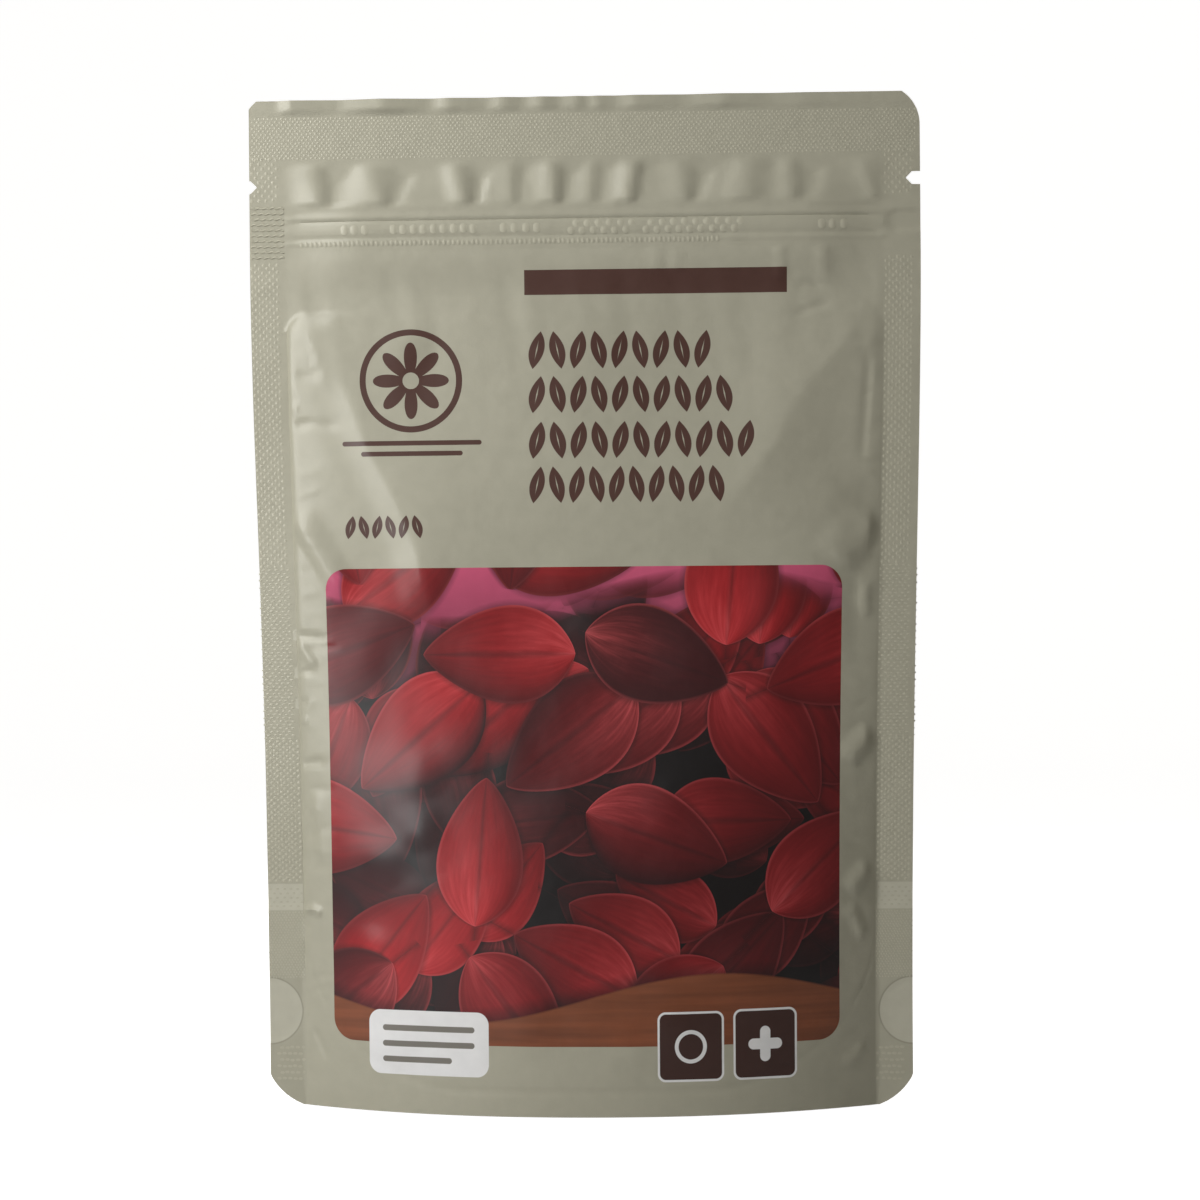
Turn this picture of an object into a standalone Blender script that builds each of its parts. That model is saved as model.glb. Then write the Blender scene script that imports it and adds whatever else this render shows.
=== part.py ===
"""A sealed stand-up pouch with a press-to-close zip, filled with dried berries.

Lengths are in metres. The front and back films meet at the closing plane, y = 0.
The front faces -Y and +Z is up. The origin lies on the surface that the pouch
stands on, under its middle. A place on a film is given as (u, z): u runs across
the flat sheet from its centre line, and z is the height.
"""

import math

import bmesh
import bpy

MM = 0.001

# The cut sheet and its seals
SHEET_WIDTH = 140 * MM
SHEET_HEIGHT = 210 * MM
SIDE_SEAL = 7.5 * MM
SKIRT_SEAL = 5 * MM
TOP_SEAL_FOOT = 198 * MM
TOP_SEAL_HEAD = 206.4 * MM
FILM = 0.3 * MM
SEAL_GAP = 0.25 * MM
HALF_WIDTH = SHEET_WIDTH / 2
HALF_INNER = HALF_WIDTH - SIDE_SEAL
LAYER = FILM + SEAL_GAP
SEALED_DEPTH = LAYER / 2

# The filled belly
BELLY_DEPTH = 16.8 * MM
BELLY_TOP = 178 * MM
BELLY_RISE_POWER = 2.2
BELLY_EASE_POWER = 0.9
BELLY_ACROSS_POWER = 2.2

# The zip and the slack film over it
ZIP_FOOT = 177.9 * MM
ZIP_HEAD = 187.1 * MM
ZIP_HALF_LENGTH = 58.5 * MM
ZIP_RISE = 1.5 * MM
ZIP_FOOT_FADE = 168 * MM
ZIP_END_FADE = 59.5 * MM
ZIP_MARGIN = 0.5 * MM
FLANGE = 0.4 * MM
FLANGE_FACE = 0.95 * MM
TRACK_HEIGHTS = (179.9 * MM, 183.7 * MM)
PUCKER_FOOT = 188 * MM
# Each pucker's place across the sheet, its half width and its height, in mm
PUCKERS_MM = (
    (-49, 7, 1.4), (-39, 4, 0.9), (-27, 7, 1.5), (-16, 5, 1.5), (-8, 4, 1.1),
    (1, 4, 1.1), (9, 5, 1.5), (20, 6, 1.2), (32, 6, 1.5), (42, 5, 1.1), (54, 6, 0.9),
)
LIP_FLARE = 0.6 * MM
LIP_WAVE = 26 * MM

# The base gusset, folded up between the films
GUSSET_RISE = 40 * MM
GUSSET_LAP_HEAD = 41 * MM
GUSSET_LAP_FADE = 46 * MM
GUSSET_SEAL_TOP = 38 * MM
GUSSET_ARC_START = 25 * MM
GUSSET_LEG_BOW = 1.5 * MM
SPOT_RADIUS = 7 * MM
SPOT_HEIGHT = 19 * MM
SPOT_FLAT = 4 * MM
SPOT_RIM = 6 * MM

# The die-cut corners and tear notches
BOTTOM_CORNER = 7 * MM
TOP_RIGHT_CORNER = 6.5 * MM
TOP_LEFT_CORNER = 1.7 * MM
NOTCH_HEIGHT_ABOVE = 192 * MM
NOTCH_WIDTH = 2.7 * MM
NOTCH_LEFT_DEPTH = 1.6 * MM
NOTCH_RIGHT_DEPTH = 2.7 * MM
NOTCH_RIGHT_PARALLEL = 1.4 * MM
CUT_BEYOND = 3 * MM
CUT_REACH = 25 * MM

# The berries
FILL_HALF_WIDTH = 50 * MM
FILL_TOP = 114 * MM
FILL_TOP_DROP = 9 * MM
FILL_CROWN = 3.7 * MM
FILL_CLEARANCE = 1.3 * MM
FILL_LUMP = 0.5 * MM
FILL_LUMP_PITCH = 11 * MM
FILL_POCKET = 0.9 * MM

# The lines of the film's mesh, in mm
EDGE_LINES_MM = (62.5, 66, 70)
INNER_CELLS = 42
ROW_LINES_MM = (
    0, 5, 12, 15.5, 19, 22.5, 26, 33, 41, 46, 60, 75, 90, 105, 120, 135, 150, 160,
    168, 173, 177.4, 182.5, 187.6, 190, 193, 196, 198, 206.4, 208.2, 210,
)
GUSSET_LINE_STRIDE = 2
GUSSET_SEAL_STEPS = 4
GUSSET_LEG_STEPS = 5
FILL_STATIONS = 20
FILL_WALL_STEPS = 10
FILL_TOP_STEPS = 3
FILL_UNDER_STEPS = 4
CORNER_STEPS = 6
SHARP_FROM = math.radians(40)


def clear_scene():
    for obj in list(bpy.data.objects):
        bpy.data.objects.remove(obj)


def ease(low, high, value):
    """0 below low, 1 above high, and smooth between them."""
    share = min(max((value - low) / (high - low), 0), 1)
    return share * share * (3 - 2 * share)


def belly(z):
    """Depth of the filled belly at mid-width, from the closing plane to the film."""
    share = min(z / BELLY_TOP, 1)
    return BELLY_DEPTH * (1 - share**BELLY_RISE_POWER) ** BELLY_EASE_POWER


def drawn_in(z):
    """How far each side edge is drawn in, because the film over the belly keeps its length."""
    return 4 / 3 * belly(z) ** 2 / (2 * HALF_INNER)


def across(u, z):
    """x of a place on the film."""
    inner = min(abs(u), HALF_INNER) * (1 - drawn_in(z) / HALF_INNER)
    return math.copysign(inner + max(abs(u) - HALF_INNER, 0), u)


def zip_rise(u, z):
    lift = ease(ZIP_FOOT_FADE, ZIP_FOOT - ZIP_MARGIN, z)
    drop = 1 - ease(ZIP_HEAD + ZIP_MARGIN, TOP_SEAL_FOOT, z)
    return ZIP_RISE * lift * drop * (1 - ease(ZIP_END_FADE, HALF_INNER, abs(u)))


def pucker_rise(u, z):
    """The slack film between the zip and the top seal stands in upright puckers."""
    if not PUCKER_FOOT < z < TOP_SEAL_FOOT:
        return 0
    window = math.sin(math.pi * (z - PUCKER_FOOT) / (TOP_SEAL_FOOT - PUCKER_FOOT))
    rise = 0
    for place, half_width, height in PUCKERS_MM:
        rise += height * MM * (1 - ease(0, half_width * MM, abs(u - place * MM)))
    return rise * window


def lip_rise(u, z):
    """Above the top seal the two films stand a little apart in waves."""
    wave = (1 + math.cos(math.tau * u / LIP_WAVE)) / 2
    return LIP_FLARE * wave * ease(TOP_SEAL_HEAD, SHEET_HEIGHT, z)


def spot_dip(u, z):
    """Through the punched holes in the gusset, the front film meets the back one."""
    distance = math.hypot(abs(u) - HALF_WIDTH, z - SPOT_HEIGHT)
    return LAYER * (1 - ease(SPOT_FLAT, SPOT_RIM, distance))


def film_depth(u, z):
    """Distance of a panel's middle surface from the closing plane."""
    lap = LAYER * (1 - ease(GUSSET_LAP_HEAD, GUSSET_LAP_FADE, z))
    share = min(abs(u) / HALF_INNER, 1)
    swell = belly(z) * (1 - share**BELLY_ACROSS_POWER)
    raised = zip_rise(u, z) + pucker_rise(u, z) + lip_rise(u, z)
    return SEALED_DEPTH + lap - spot_dip(u, z) + swell + raised


def panel_lines():
    step = 2 * HALF_INNER / INNER_CELLS
    inner = [-HALF_INNER + step * n for n in range(1, INNER_CELLS)]
    edge = [line * MM for line in EDGE_LINES_MM]
    return [-line for line in reversed(edge)] + inner + edge


def panel_rows(side):
    """Points of a panel, a row for each height. side is -1 for the front and 1 for the back."""
    return [
        [
            (across(u, row * MM), side * film_depth(-side * u, row * MM), row * MM)
            for u in panel_lines()
        ]
        for row in ROW_LINES_MM
    ]


def seal_height(u):
    """Height of the gusset's weld to the panel: a low skirt that sweeps up to the side seals."""
    share = min(max((abs(u) - GUSSET_ARC_START) / (HALF_INNER - GUSSET_ARC_START), 0), 1)
    return SKIRT_SEAL + (GUSSET_SEAL_TOP - SKIRT_SEAL) * (1 - math.sqrt(1 - share**2))


def leg_ends(u):
    """(depth, height) where the gusset leaves the panel, and where it meets its fold."""
    foot = seal_height(u)
    depth = film_depth(u, foot) - LAYER
    rise = math.sqrt((GUSSET_RISE - foot) ** 2 - (depth - SEALED_DEPTH) ** 2)
    return (depth, foot), (SEALED_DEPTH, foot + rise)


def leg_point(u, share):
    """(depth, height) on the gusset's free leg, which the berries press inwards."""
    (foot_depth, foot), (fold_depth, fold) = leg_ends(u)
    length = math.hypot(foot_depth - fold_depth, fold - foot)
    bow = GUSSET_LEG_BOW * math.sin(math.pi * share) * (foot_depth - fold_depth) / BELLY_DEPTH
    depth = foot_depth + (fold_depth - foot_depth) * share - bow * (fold - foot) / length
    height = foot + (fold - foot) * share - bow * (foot_depth - fold_depth) / length
    return depth, height


def welded_depth(u, z):
    """Depth of the gusset where it is welded. It has holes at the spots, so it has no dip there."""
    return film_depth(u, z) + spot_dip(u, z) - LAYER


def gusset_half(u):
    """(depth, height) from the bottom edge up to the fold."""
    foot = seal_height(u)
    sealed = [foot * n / GUSSET_SEAL_STEPS for n in range(GUSSET_SEAL_STEPS)]
    path = [(welded_depth(u, z), z) for z in sealed]
    path += [leg_point(u, n / GUSSET_LEG_STEPS) for n in range(GUSSET_LEG_STEPS + 1)]
    return path


def gusset_rows():
    """A row of points for each station across, from the front edge over the fold to the back."""
    rows = []
    for u in panel_lines()[::GUSSET_LINE_STRIDE]:
        half = gusset_half(u)
        front = [(across(u, z), -depth, z) for depth, z in half]
        back = [(across(u, z), depth, z) for depth, z in reversed(half)]
        rows.append(front + back)
    return rows


def add_object(name, shape):
    mesh = bpy.data.meshes.new(name)
    shape.to_mesh(mesh)
    shape.free()
    obj = bpy.data.objects.new(name, mesh)
    bpy.context.scene.collection.objects.link(obj)
    return obj


def sheet_object(name, rows):
    """A film through rows of points. Both faces share its triangles, so they can't cross."""
    shape = bmesh.new()
    points = [[shape.verts.new(point) for point in row] for row in rows]
    for below, above in zip(points, points[1:]):
        for n in range(len(below) - 1):
            shape.faces.new((below[n], below[n + 1], above[n + 1]))
            shape.faces.new((below[n], above[n + 1], above[n]))
    obj = add_object(name, shape)
    thickness = obj.modifiers.new("film thickness", "SOLIDIFY")
    thickness.thickness = FILM
    thickness.offset = 0
    thickness.use_even_offset = True
    return obj


def prism(name, outline, half_length, axis):
    """A closed outline extruded both ways: (y, z) points along X, or (x, z) points along Y."""
    shape = bmesh.new()
    if axis == "X":
        corners = [shape.verts.new((-half_length, y, z)) for y, z in outline]
        push = (2 * half_length, 0, 0)
    else:
        corners = [shape.verts.new((x, -half_length, z)) for x, z in outline]
        push = (0, 2 * half_length, 0)
    face = shape.faces.new(corners)
    made = bmesh.ops.extrude_face_region(shape, geom=[face])["geom"]
    moved = [item for item in made if isinstance(item, bmesh.types.BMVert)]
    bmesh.ops.translate(shape, vec=push, verts=moved)
    bmesh.ops.recalc_face_normals(shape, faces=shape.faces)
    return add_object(name, shape)


def corner_outline(side, end, radius):
    """(x, z) of what the die takes off a corner. side is -1 or 1 in x, and end is -1 at the bottom."""
    edge_z = 0 if end < 0 else SHEET_HEIGHT
    edge_x = across(side * HALF_WIDTH, edge_z)
    centre_x, centre_z = edge_x - side * radius, edge_z - end * radius
    arc = [
        (
            centre_x + side * radius * math.sin(math.pi / 2 * n / CORNER_STEPS),
            centre_z + end * radius * math.cos(math.pi / 2 * n / CORNER_STEPS),
        )
        for n in range(CORNER_STEPS + 1)
    ]
    out_x, out_z = edge_x + side * CUT_BEYOND, edge_z + end * CUT_BEYOND
    return arc + [(out_x, centre_z), (out_x, out_z), (centre_x, out_z)]


def notch_outline(side, depth, parallel):
    """(x, z) of a tear notch: a V, with a straight part before it on one side."""
    edge = side * HALF_WIDTH
    half = NOTCH_WIDTH / 2
    tip = edge - side * depth
    shoulder = edge - side * parallel
    out = edge + side * CUT_BEYOND
    low, high = NOTCH_HEIGHT_ABOVE - half, NOTCH_HEIGHT_ABOVE + half
    return [(out, low), (shoulder, low), (tip, NOTCH_HEIGHT_ABOVE), (shoulder, high), (out, high)]


def spot_outline(side):
    centre = across(side * HALF_WIDTH, SPOT_HEIGHT)
    steps = 4 * CORNER_STEPS
    return [
        (
            centre + SPOT_RADIUS * math.cos(math.tau * n / steps),
            SPOT_HEIGHT + SPOT_RADIUS * math.sin(math.tau * n / steps),
        )
        for n in range(steps)
    ]


def die_collection(name, outlines):
    """Cutters in a collection of their own, which the build and a render leave out."""
    dies = bpy.data.collections.new(name)
    bpy.context.scene.collection.children.link(dies)
    for n, outline in enumerate(outlines):
        cutter = prism(f"{name}_{n}", outline, CUT_REACH, "Y")
        bpy.context.scene.collection.objects.unlink(cutter)
        dies.objects.link(cutter)
        cutter.hide_render = True
        cutter.display_type = "WIRE"
    return dies


def die_cut(obj, dies):
    cut = obj.modifiers.new("die cut", "BOOLEAN")
    cut.operation = "DIFFERENCE"
    cut.operand_type = "COLLECTION"
    cut.collection = dies
    cut.solver = "EXACT"


def groove_strip_outline():
    """(y, z) of the zip's groove strip, welded to the front film: a flange with two hooked channels."""
    back, face = -(FLANGE_FACE + FLANGE), -FLANGE_FACE
    lip_back, lip_face = 0.05 * MM, 0.35 * MM
    chamber, mouth, wall = 0.95 * MM, 0.5 * MM, 0.4 * MM
    outline = [(back, ZIP_FOOT), (face, ZIP_FOOT)]
    for track in TRACK_HEIGHTS:
        outline += [
            (face, track - chamber - wall),
            (lip_face, track - chamber - wall),
            (lip_face, track - mouth),
            (lip_back, track - mouth),
            (lip_back, track - chamber),
            (face, track - chamber),
            (face, track + chamber),
            (lip_back, track + chamber),
            (lip_back, track + mouth),
            (lip_face, track + mouth),
            (lip_face, track + chamber + wall),
            (face, track + chamber + wall),
        ]
    return outline + [(face, ZIP_HEAD), (back, ZIP_HEAD)]


def rib_strip_outline():
    """(y, z) of the zip's rib strip, welded to the back film: a flange with two arrow-headed ribs."""
    back, face = FLANGE_FACE + FLANGE, FLANGE_FACE
    neck, head = 0.3 * MM, 0.68 * MM
    shoulder, tip = -0.2 * MM, -0.7 * MM
    outline = [(back, ZIP_FOOT), (face, ZIP_FOOT)]
    for track in TRACK_HEIGHTS:
        outline += [
            (face, track - neck),
            (shoulder, track - neck),
            (shoulder, track - head),
            (tip, track - neck),
            (tip, track + neck),
            (shoulder, track + head),
            (shoulder, track + neck),
            (face, track + neck),
        ]
    return outline + [(face, ZIP_HEAD), (back, ZIP_HEAD)]


def lump(u, z):
    """The berries' rounded sides, raised on the outside of the filling."""
    turns = math.tau / FILL_LUMP_PITCH
    return FILL_LUMP * math.sin(turns * u) * math.sin(turns * z)


def wall_depth(u, z):
    return film_depth(u, z) - FILM / 2 - FILL_CLEARANCE + lump(u, z)


def leg_depth_at(u, z):
    """Depth of the filling's underside over the gusset's leg, at a height."""
    (foot_depth, foot), (fold_depth, fold) = leg_ends(u)
    share = min(max((z - foot) / (fold - foot), 0), 1)
    return foot_depth + (fold_depth - foot_depth) * share + FILM / 2 + FILL_CLEARANCE


def pocket_height(u):
    """Lowest height where the filling fits between the panel and the gusset's leg."""
    height = seal_height(u)
    while wall_depth(u, height) - leg_depth_at(u, height) < FILL_POCKET:
        height += FILL_POCKET
    return height


def fill_section(u):
    """(y, z) round the filling at one station: the back wall, the top, the front, then under."""
    pocket = pocket_height(u)
    fold = leg_ends(u)[1][1] + FILM + FILL_CLEARANCE
    top = FILL_TOP - FILL_TOP_DROP * (u / FILL_HALF_WIDTH) ** 2
    heights = [pocket + (top - pocket) * n / FILL_WALL_STEPS for n in range(FILL_WALL_STEPS + 1)]
    wall = [(wall_depth(u, z), z) for z in heights]
    edge = wall[-1][0]
    over = [
        (edge * (1 - share), top + FILL_CROWN * ease(0, 1, share))
        for share in (n / FILL_TOP_STEPS for n in range(1, FILL_TOP_STEPS + 1))
    ]
    under = [
        (leg_depth_at(u, pocket) * (1 - share), pocket + (fold - pocket) * share)
        for share in (n / FILL_UNDER_STEPS for n in range(1, FILL_UNDER_STEPS + 1))
    ]
    rim = [(leg_depth_at(u, pocket), pocket)]
    half = list(reversed(under)) + rim + wall + over
    mirrored = [(-y, z) for y, z in reversed(half[1:-1])]
    return half + mirrored


def fill_object():
    """The berries as one heap: sections across the pouch, bridged and capped."""
    shape = bmesh.new()
    rings = []
    for n in range(FILL_STATIONS + 1):
        u = FILL_HALF_WIDTH * (2 * n / FILL_STATIONS - 1)
        rings.append([shape.verts.new((across(u, z), y, z)) for y, z in fill_section(u)])
    for near, far in zip(rings, rings[1:]):
        for n in range(len(near)):
            after = (n + 1) % len(near)
            shape.faces.new((near[n], near[after], far[after], far[n]))
    shape.faces.new(reversed(rings[0]))
    shape.faces.new(rings[-1])
    bmesh.ops.triangulate(shape, faces=shape.faces)
    bmesh.ops.recalc_face_normals(shape, faces=shape.faces)
    return add_object("berry_fill", shape)


def material(name, colour, roughness, metallic=0.0):
    made = bpy.data.materials.new(name)
    made.use_nodes = True
    shader = made.node_tree.nodes["Principled BSDF"]
    shader.inputs["Base Color"].default_value = (*colour, 1)
    shader.inputs["Roughness"].default_value = roughness
    shader.inputs["Metallic"].default_value = metallic
    return made


def finish(obj, made):
    obj.data.materials.append(made)
    obj.data.shade_smooth()
    obj.data.set_sharp_from_angle(angle=SHARP_FROM)


def main():
    clear_scene()
    corners = [corner_outline(side, -1, BOTTOM_CORNER) for side in (-1, 1)]
    corners.append(corner_outline(-1, 1, TOP_LEFT_CORNER))
    corners.append(corner_outline(1, 1, TOP_RIGHT_CORNER))
    notches = [
        notch_outline(-1, NOTCH_LEFT_DEPTH, 0),
        notch_outline(1, NOTCH_RIGHT_DEPTH, NOTCH_RIGHT_PARALLEL),
    ]
    panel_dies = die_collection("panel_die", corners + notches)
    gusset_dies = die_collection("gusset_die", corners[:2] + [spot_outline(-1), spot_outline(1)])

    laminate = material("matt taupe laminate", (0.42, 0.40, 0.33), 0.45, 0.35)
    inner_film = material("plain taupe laminate", (0.40, 0.38, 0.31), 0.5, 0.3)
    clear_plastic = material("translucent zip plastic", (0.80, 0.80, 0.76), 0.35)
    fruit = material("dried berry skin", (0.16, 0.01, 0.015), 0.4)

    front = sheet_object("front_panel", panel_rows(-1))
    back = sheet_object("back_panel", panel_rows(1))
    gusset = sheet_object("base_gusset", gusset_rows())
    die_cut(front, panel_dies)
    die_cut(back, panel_dies)
    die_cut(gusset, gusset_dies)
    grooves = prism("zip_groove_strip", groove_strip_outline(), ZIP_HALF_LENGTH, "X")
    ribs = prism("zip_rib_strip", rib_strip_outline(), ZIP_HALF_LENGTH, "X")
    berries = fill_object()

    finish(front, laminate)
    finish(back, laminate)
    finish(gusset, inner_film)
    finish(grooves, clear_plastic)
    finish(ribs, clear_plastic)
    finish(berries, fruit)


main()
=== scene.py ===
"""Dresses a sealed stand-up pouch: thin printed film, folds, embossed seals, zip relief and fruit.

Lengths are in metres unless a name ends in _MM. A place on a film is (u, z), as its owner sees it
on the flat sheet: u runs to the viewer's right from the centre line, and z is the height.
"""

import math
from collections import namedtuple
from contextlib import contextmanager

import bmesh
import bpy
import numpy as np
from bpy.props import FloatProperty, FloatVectorProperty, IntProperty, PointerProperty
from bpy.types import Operator, Panel, PropertyGroup
from mathutils import Euler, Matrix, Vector


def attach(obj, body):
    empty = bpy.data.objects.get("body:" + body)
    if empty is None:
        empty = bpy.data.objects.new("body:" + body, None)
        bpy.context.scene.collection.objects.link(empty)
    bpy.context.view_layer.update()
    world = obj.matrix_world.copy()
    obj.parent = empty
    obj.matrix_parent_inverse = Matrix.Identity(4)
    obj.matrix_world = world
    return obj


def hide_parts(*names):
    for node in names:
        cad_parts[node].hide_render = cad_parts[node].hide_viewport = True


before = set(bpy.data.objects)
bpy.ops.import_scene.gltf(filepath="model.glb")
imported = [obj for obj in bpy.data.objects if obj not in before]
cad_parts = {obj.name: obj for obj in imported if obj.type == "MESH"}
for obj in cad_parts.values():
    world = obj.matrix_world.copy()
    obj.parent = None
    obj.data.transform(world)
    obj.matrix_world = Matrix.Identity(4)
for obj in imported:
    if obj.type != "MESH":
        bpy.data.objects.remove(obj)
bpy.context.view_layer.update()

bl_info = {
    "name": "Stand-up Zip Pouch",
    "version": (1, 0, 0),
    "blender": (4, 5, 0),
    "location": "3D View > Sidebar > Pouch",
    "description": "Films, print, seals, zip relief and filling of a stand-up pouch",
    "category": "Add Mesh",
}

MM = 0.001
FRONT, BACK = -1, 1
BODY = "root"
UV_NAME = "sheet"

# How metallic the bare pearl ink is, and how much lighter the embossing is painted: a painted
# glint, as if its small facets caught more light
PEARL = 0.07
EMBOSSED_GLINT_PAINT = 1.12

# The belly's profile, as powers of the share of the height and of the half width
BELLY_RISE_POWER = 2.2
BELLY_EASE_POWER = 0.9
BELLY_ACROSS_POWER = 2.2

# The puffed film beside the side seals: its top, its corner's radius, the width of its roll, how
# high it stands at the left and at the right, where it starts, and the strip of finer mesh
PILLOW_TOP = 165.4 * MM
PILLOW_CORNER = 4.6 * MM
PILLOW_ROLL = 2.2 * MM
PILLOW_RISES = {FRONT: (0.6 * MM, 0.12 * MM), BACK: (0.3 * MM, 0.7 * MM)}
PILLOW_SIDE, PILLOW_FOOT = (42 * MM, 58 * MM), (20 * MM, 44 * MM)
ROLL_ZONE = 5 * MM

# The mesh's rows by height in mm: from, to, and their pitch as a share of the cell
ROW_ZONES_MM = (
    (0, 176, 0.78), (176, 189, 0.46), (189, 198, 0.6), (198, 206, 0.85), (206, 210, 0.46))

# Seeds of each film's lumps, tucks and ripples
SEEDS = {FRONT: (11, 21, 31), BACK: (12, 22, 32)}

# Where the film is slack enough for lumps and tucks: its inset from the seals and its top
SLACK_INSET = 2.5 * MM
SLACK_HEAD, SLACK_END = 170 * MM, 177 * MM

# Heights between which the taut film under the zip ripples, in mm
RIPPLES_MM = (150, 160, 170, 178)

# Shallow hollows of the film, in mm: centre, half width, reach below, reach above, depth
HOLLOWS_MM = ((4, 98, 46, 42, 50, 1.3), (22, 151, 29, 26, 28, 1.6))

# Share of its depth that the front belly loses where its film has gathered in folds. The loss
# grows from a foot to its full height, and a little of it is given back above
FLATTENED = 0.43
FLAT_FOOT, FLAT_FULL, FLAT_HEAD = 36 * MM, 104 * MM, 134 * MM
FLAT_EASED = 0.25

# Heights and rises of the zip's parts, and heights of the top seal
ZIP_FOOT = 178.1 * MM
ZIP_HEAD = 187.0 * MM
ZIP_RISE = 1.5 * MM
ZIP_FADE_FOOT = 168 * MM
STRIP_RISE = 1.23 * MM
TOP_SEAL_FOOT = 197.6 * MM
TOP_SEAL_HEAD = 206.6 * MM

# How far out the zip starts to be crushed, and the last cut that its strips need for that
ZIP_CRUSH = 46 * MM
ZIP_LAST_CUT = 58 * MM

# The gusset's lap between the panels: its top, how many films it lifts them by, and how that
# dies away from its welds
LAP_HEAD = 40.6 * MM
LAP_FADE = 42.2 * MM
LAP_LIFT = 1.3
WELD_INSET = 4 * MM
WELD_FADE = 12 * MM

# The gusset's weld and the line along it, its legs, its spot welds and the band over it
WELD_DIP, WELD_HALF = 0.14 * MM, 0.9 * MM
SKIRT_SEAL = 5 * MM
GUSSET_SEAL_TOP = 38 * MM
ARC_START = 25 * MM
LEG_BOW = 1.5 * MM
SPOT_HEIGHT = 19.6 * MM
SPOT_RADIUS = 6.8 * MM
SPOT_DIP = 1.1
BAND_HEAD = 46.1 * MM
BAND_REACH = 7.3 * MM

# A die-cut corner: how far it reaches in along the edge and up the side, and its arc's radius
Corner = namedtuple("Corner", "reach rise radius")
BOTTOM_CORNER = Corner(7 * MM, 6.2 * MM, 13 * MM)
TOP_RIGHT_CORNER = Corner(3.7 * MM, 6.7 * MM, 8.2 * MM)
TOP_LEFT_CORNER = Corner(1.6 * MM, 1.6 * MM, 40 * MM)

# The tear notches: their height, half their width, and for the front's left and right how deep
# each cuts in and how much of that is a straight slot
NOTCH_HEIGHT = 192 * MM
NOTCH_HALF = 1.35 * MM
LEFT_NOTCH_DEPTH = 1.65 * MM
LEFT_NOTCH_SLOT = 0.25 * MM
RIGHT_NOTCH_DEPTH = 3.0 * MM
RIGHT_NOTCH_SLOT = 1.7 * MM

# Puckers of the slack film between the zip and the top seal, in mm from left to right: where a
# crest or a valley meets the zip, where it meets the seal, and how far it stands proud
PUCKERS_MM = (
    (-63.5, -63.5, 0), (-54.8, -57.2, 0.5), (-52.4, -50.8, -0.35),
    (-41.6, -45.3, 0.42), (-39.8, -35, -0.35), (-37.5, -32.9, -0.12),
    (-29.5, -31.5, -0.12), (-24.2, -27.1, 0.42), (-22.3, -19.9, -0.42),
    (-20.5, -18.6, -0.05), (-14.4, -15.2, 0.2), (-13.3, -12, -0.2),
    (-12.3, -11, -0.1), (-5.4, -6.5, 0.48), (-4.2, -2.2, -0.35),
    (1.6, 2.2, 0.15), (3.4, 4.9, -0.25), (9.9, 11.2, 0.55),
    (11.2, 13.6, -0.1), (15, 15, -0.12), (21.8, 20, 0.2),
    (23.1, 27.4, -0.42), (26, 29, -0.1), (33.7, 34.8, 0.42),
    (38.8, 40.2, -0.03), (43.6, 42.4, 0.22), (45.8, 49, -0.36),
    (50, 51.6, -0.1), (57, 53.2, -0.1), (60.6, 58.3, 0.25),
    (62.9, 62.9, 0.04), (63.5, 63.5, 0),
)
# The swell under the puckers, what multiplies their rises, how much more sharply a fold climbs
# at its foot, and the shares of the height between which the folds stand in full
PUCKER_SWELL = 1.4 * MM
PUCKER_DEPTH = 1.3
PUCKER_NARROWING = 0.25
PUCKER_FOOT, PUCKER_HEAD = 0.17, 0.74

# The loose lip above the top seal: where each wave starts, crests and ends, and its rise, in mm
LIP_WAVES_MM = (
    (-64, -61.1, -51.5, 0.7), (-50.9, -41.8, -32, 1.2), (-31.3, -28, -20.5, 0.75),
    (-19.7, -16.4, -12.3, 0.65), (-11.8, -8.6, -4.6, 0.6), (-4.3, -1.1, 1.2, 0.45),
    (1.4, 3, 7, 0.4), (7.4, 10.9, 21, 0.6), (22.4, 29.5, 39, 0.7), (40, 46, 60, 0.35),
)
# The lip's gap between the waves, and the height over which it opens
LIP_GAP = 0.1 * MM
LIP_OPENING = 1.6 * MM

# How far the side seal at the viewer's left of the front leans back, and over which heights
SEAL_BEND = 0.8 * MM
SEAL_BEND_MM = (46, 84, 108, 152)

# A fold of the film, in mm: how far it stands proud, how wide its slopes are on the left and on
# the right hand of someone who walks along it, its route, and whether its crest is crisp
Fold = namedtuple("Fold", "rise left right route crisp", defaults=(False,))

# Share of a fold's route over which it grows at each end
FOLD_TAPER = 0.24

# The route that two folds at the left share
LEFT_CREST = ((-50.3, 149.8), (-45.6, 136.8), (-41.5, 128.5), (-37.9, 121.4), (-35.6, 114.9),
              (-33.5, 106), (-32, 96))

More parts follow.
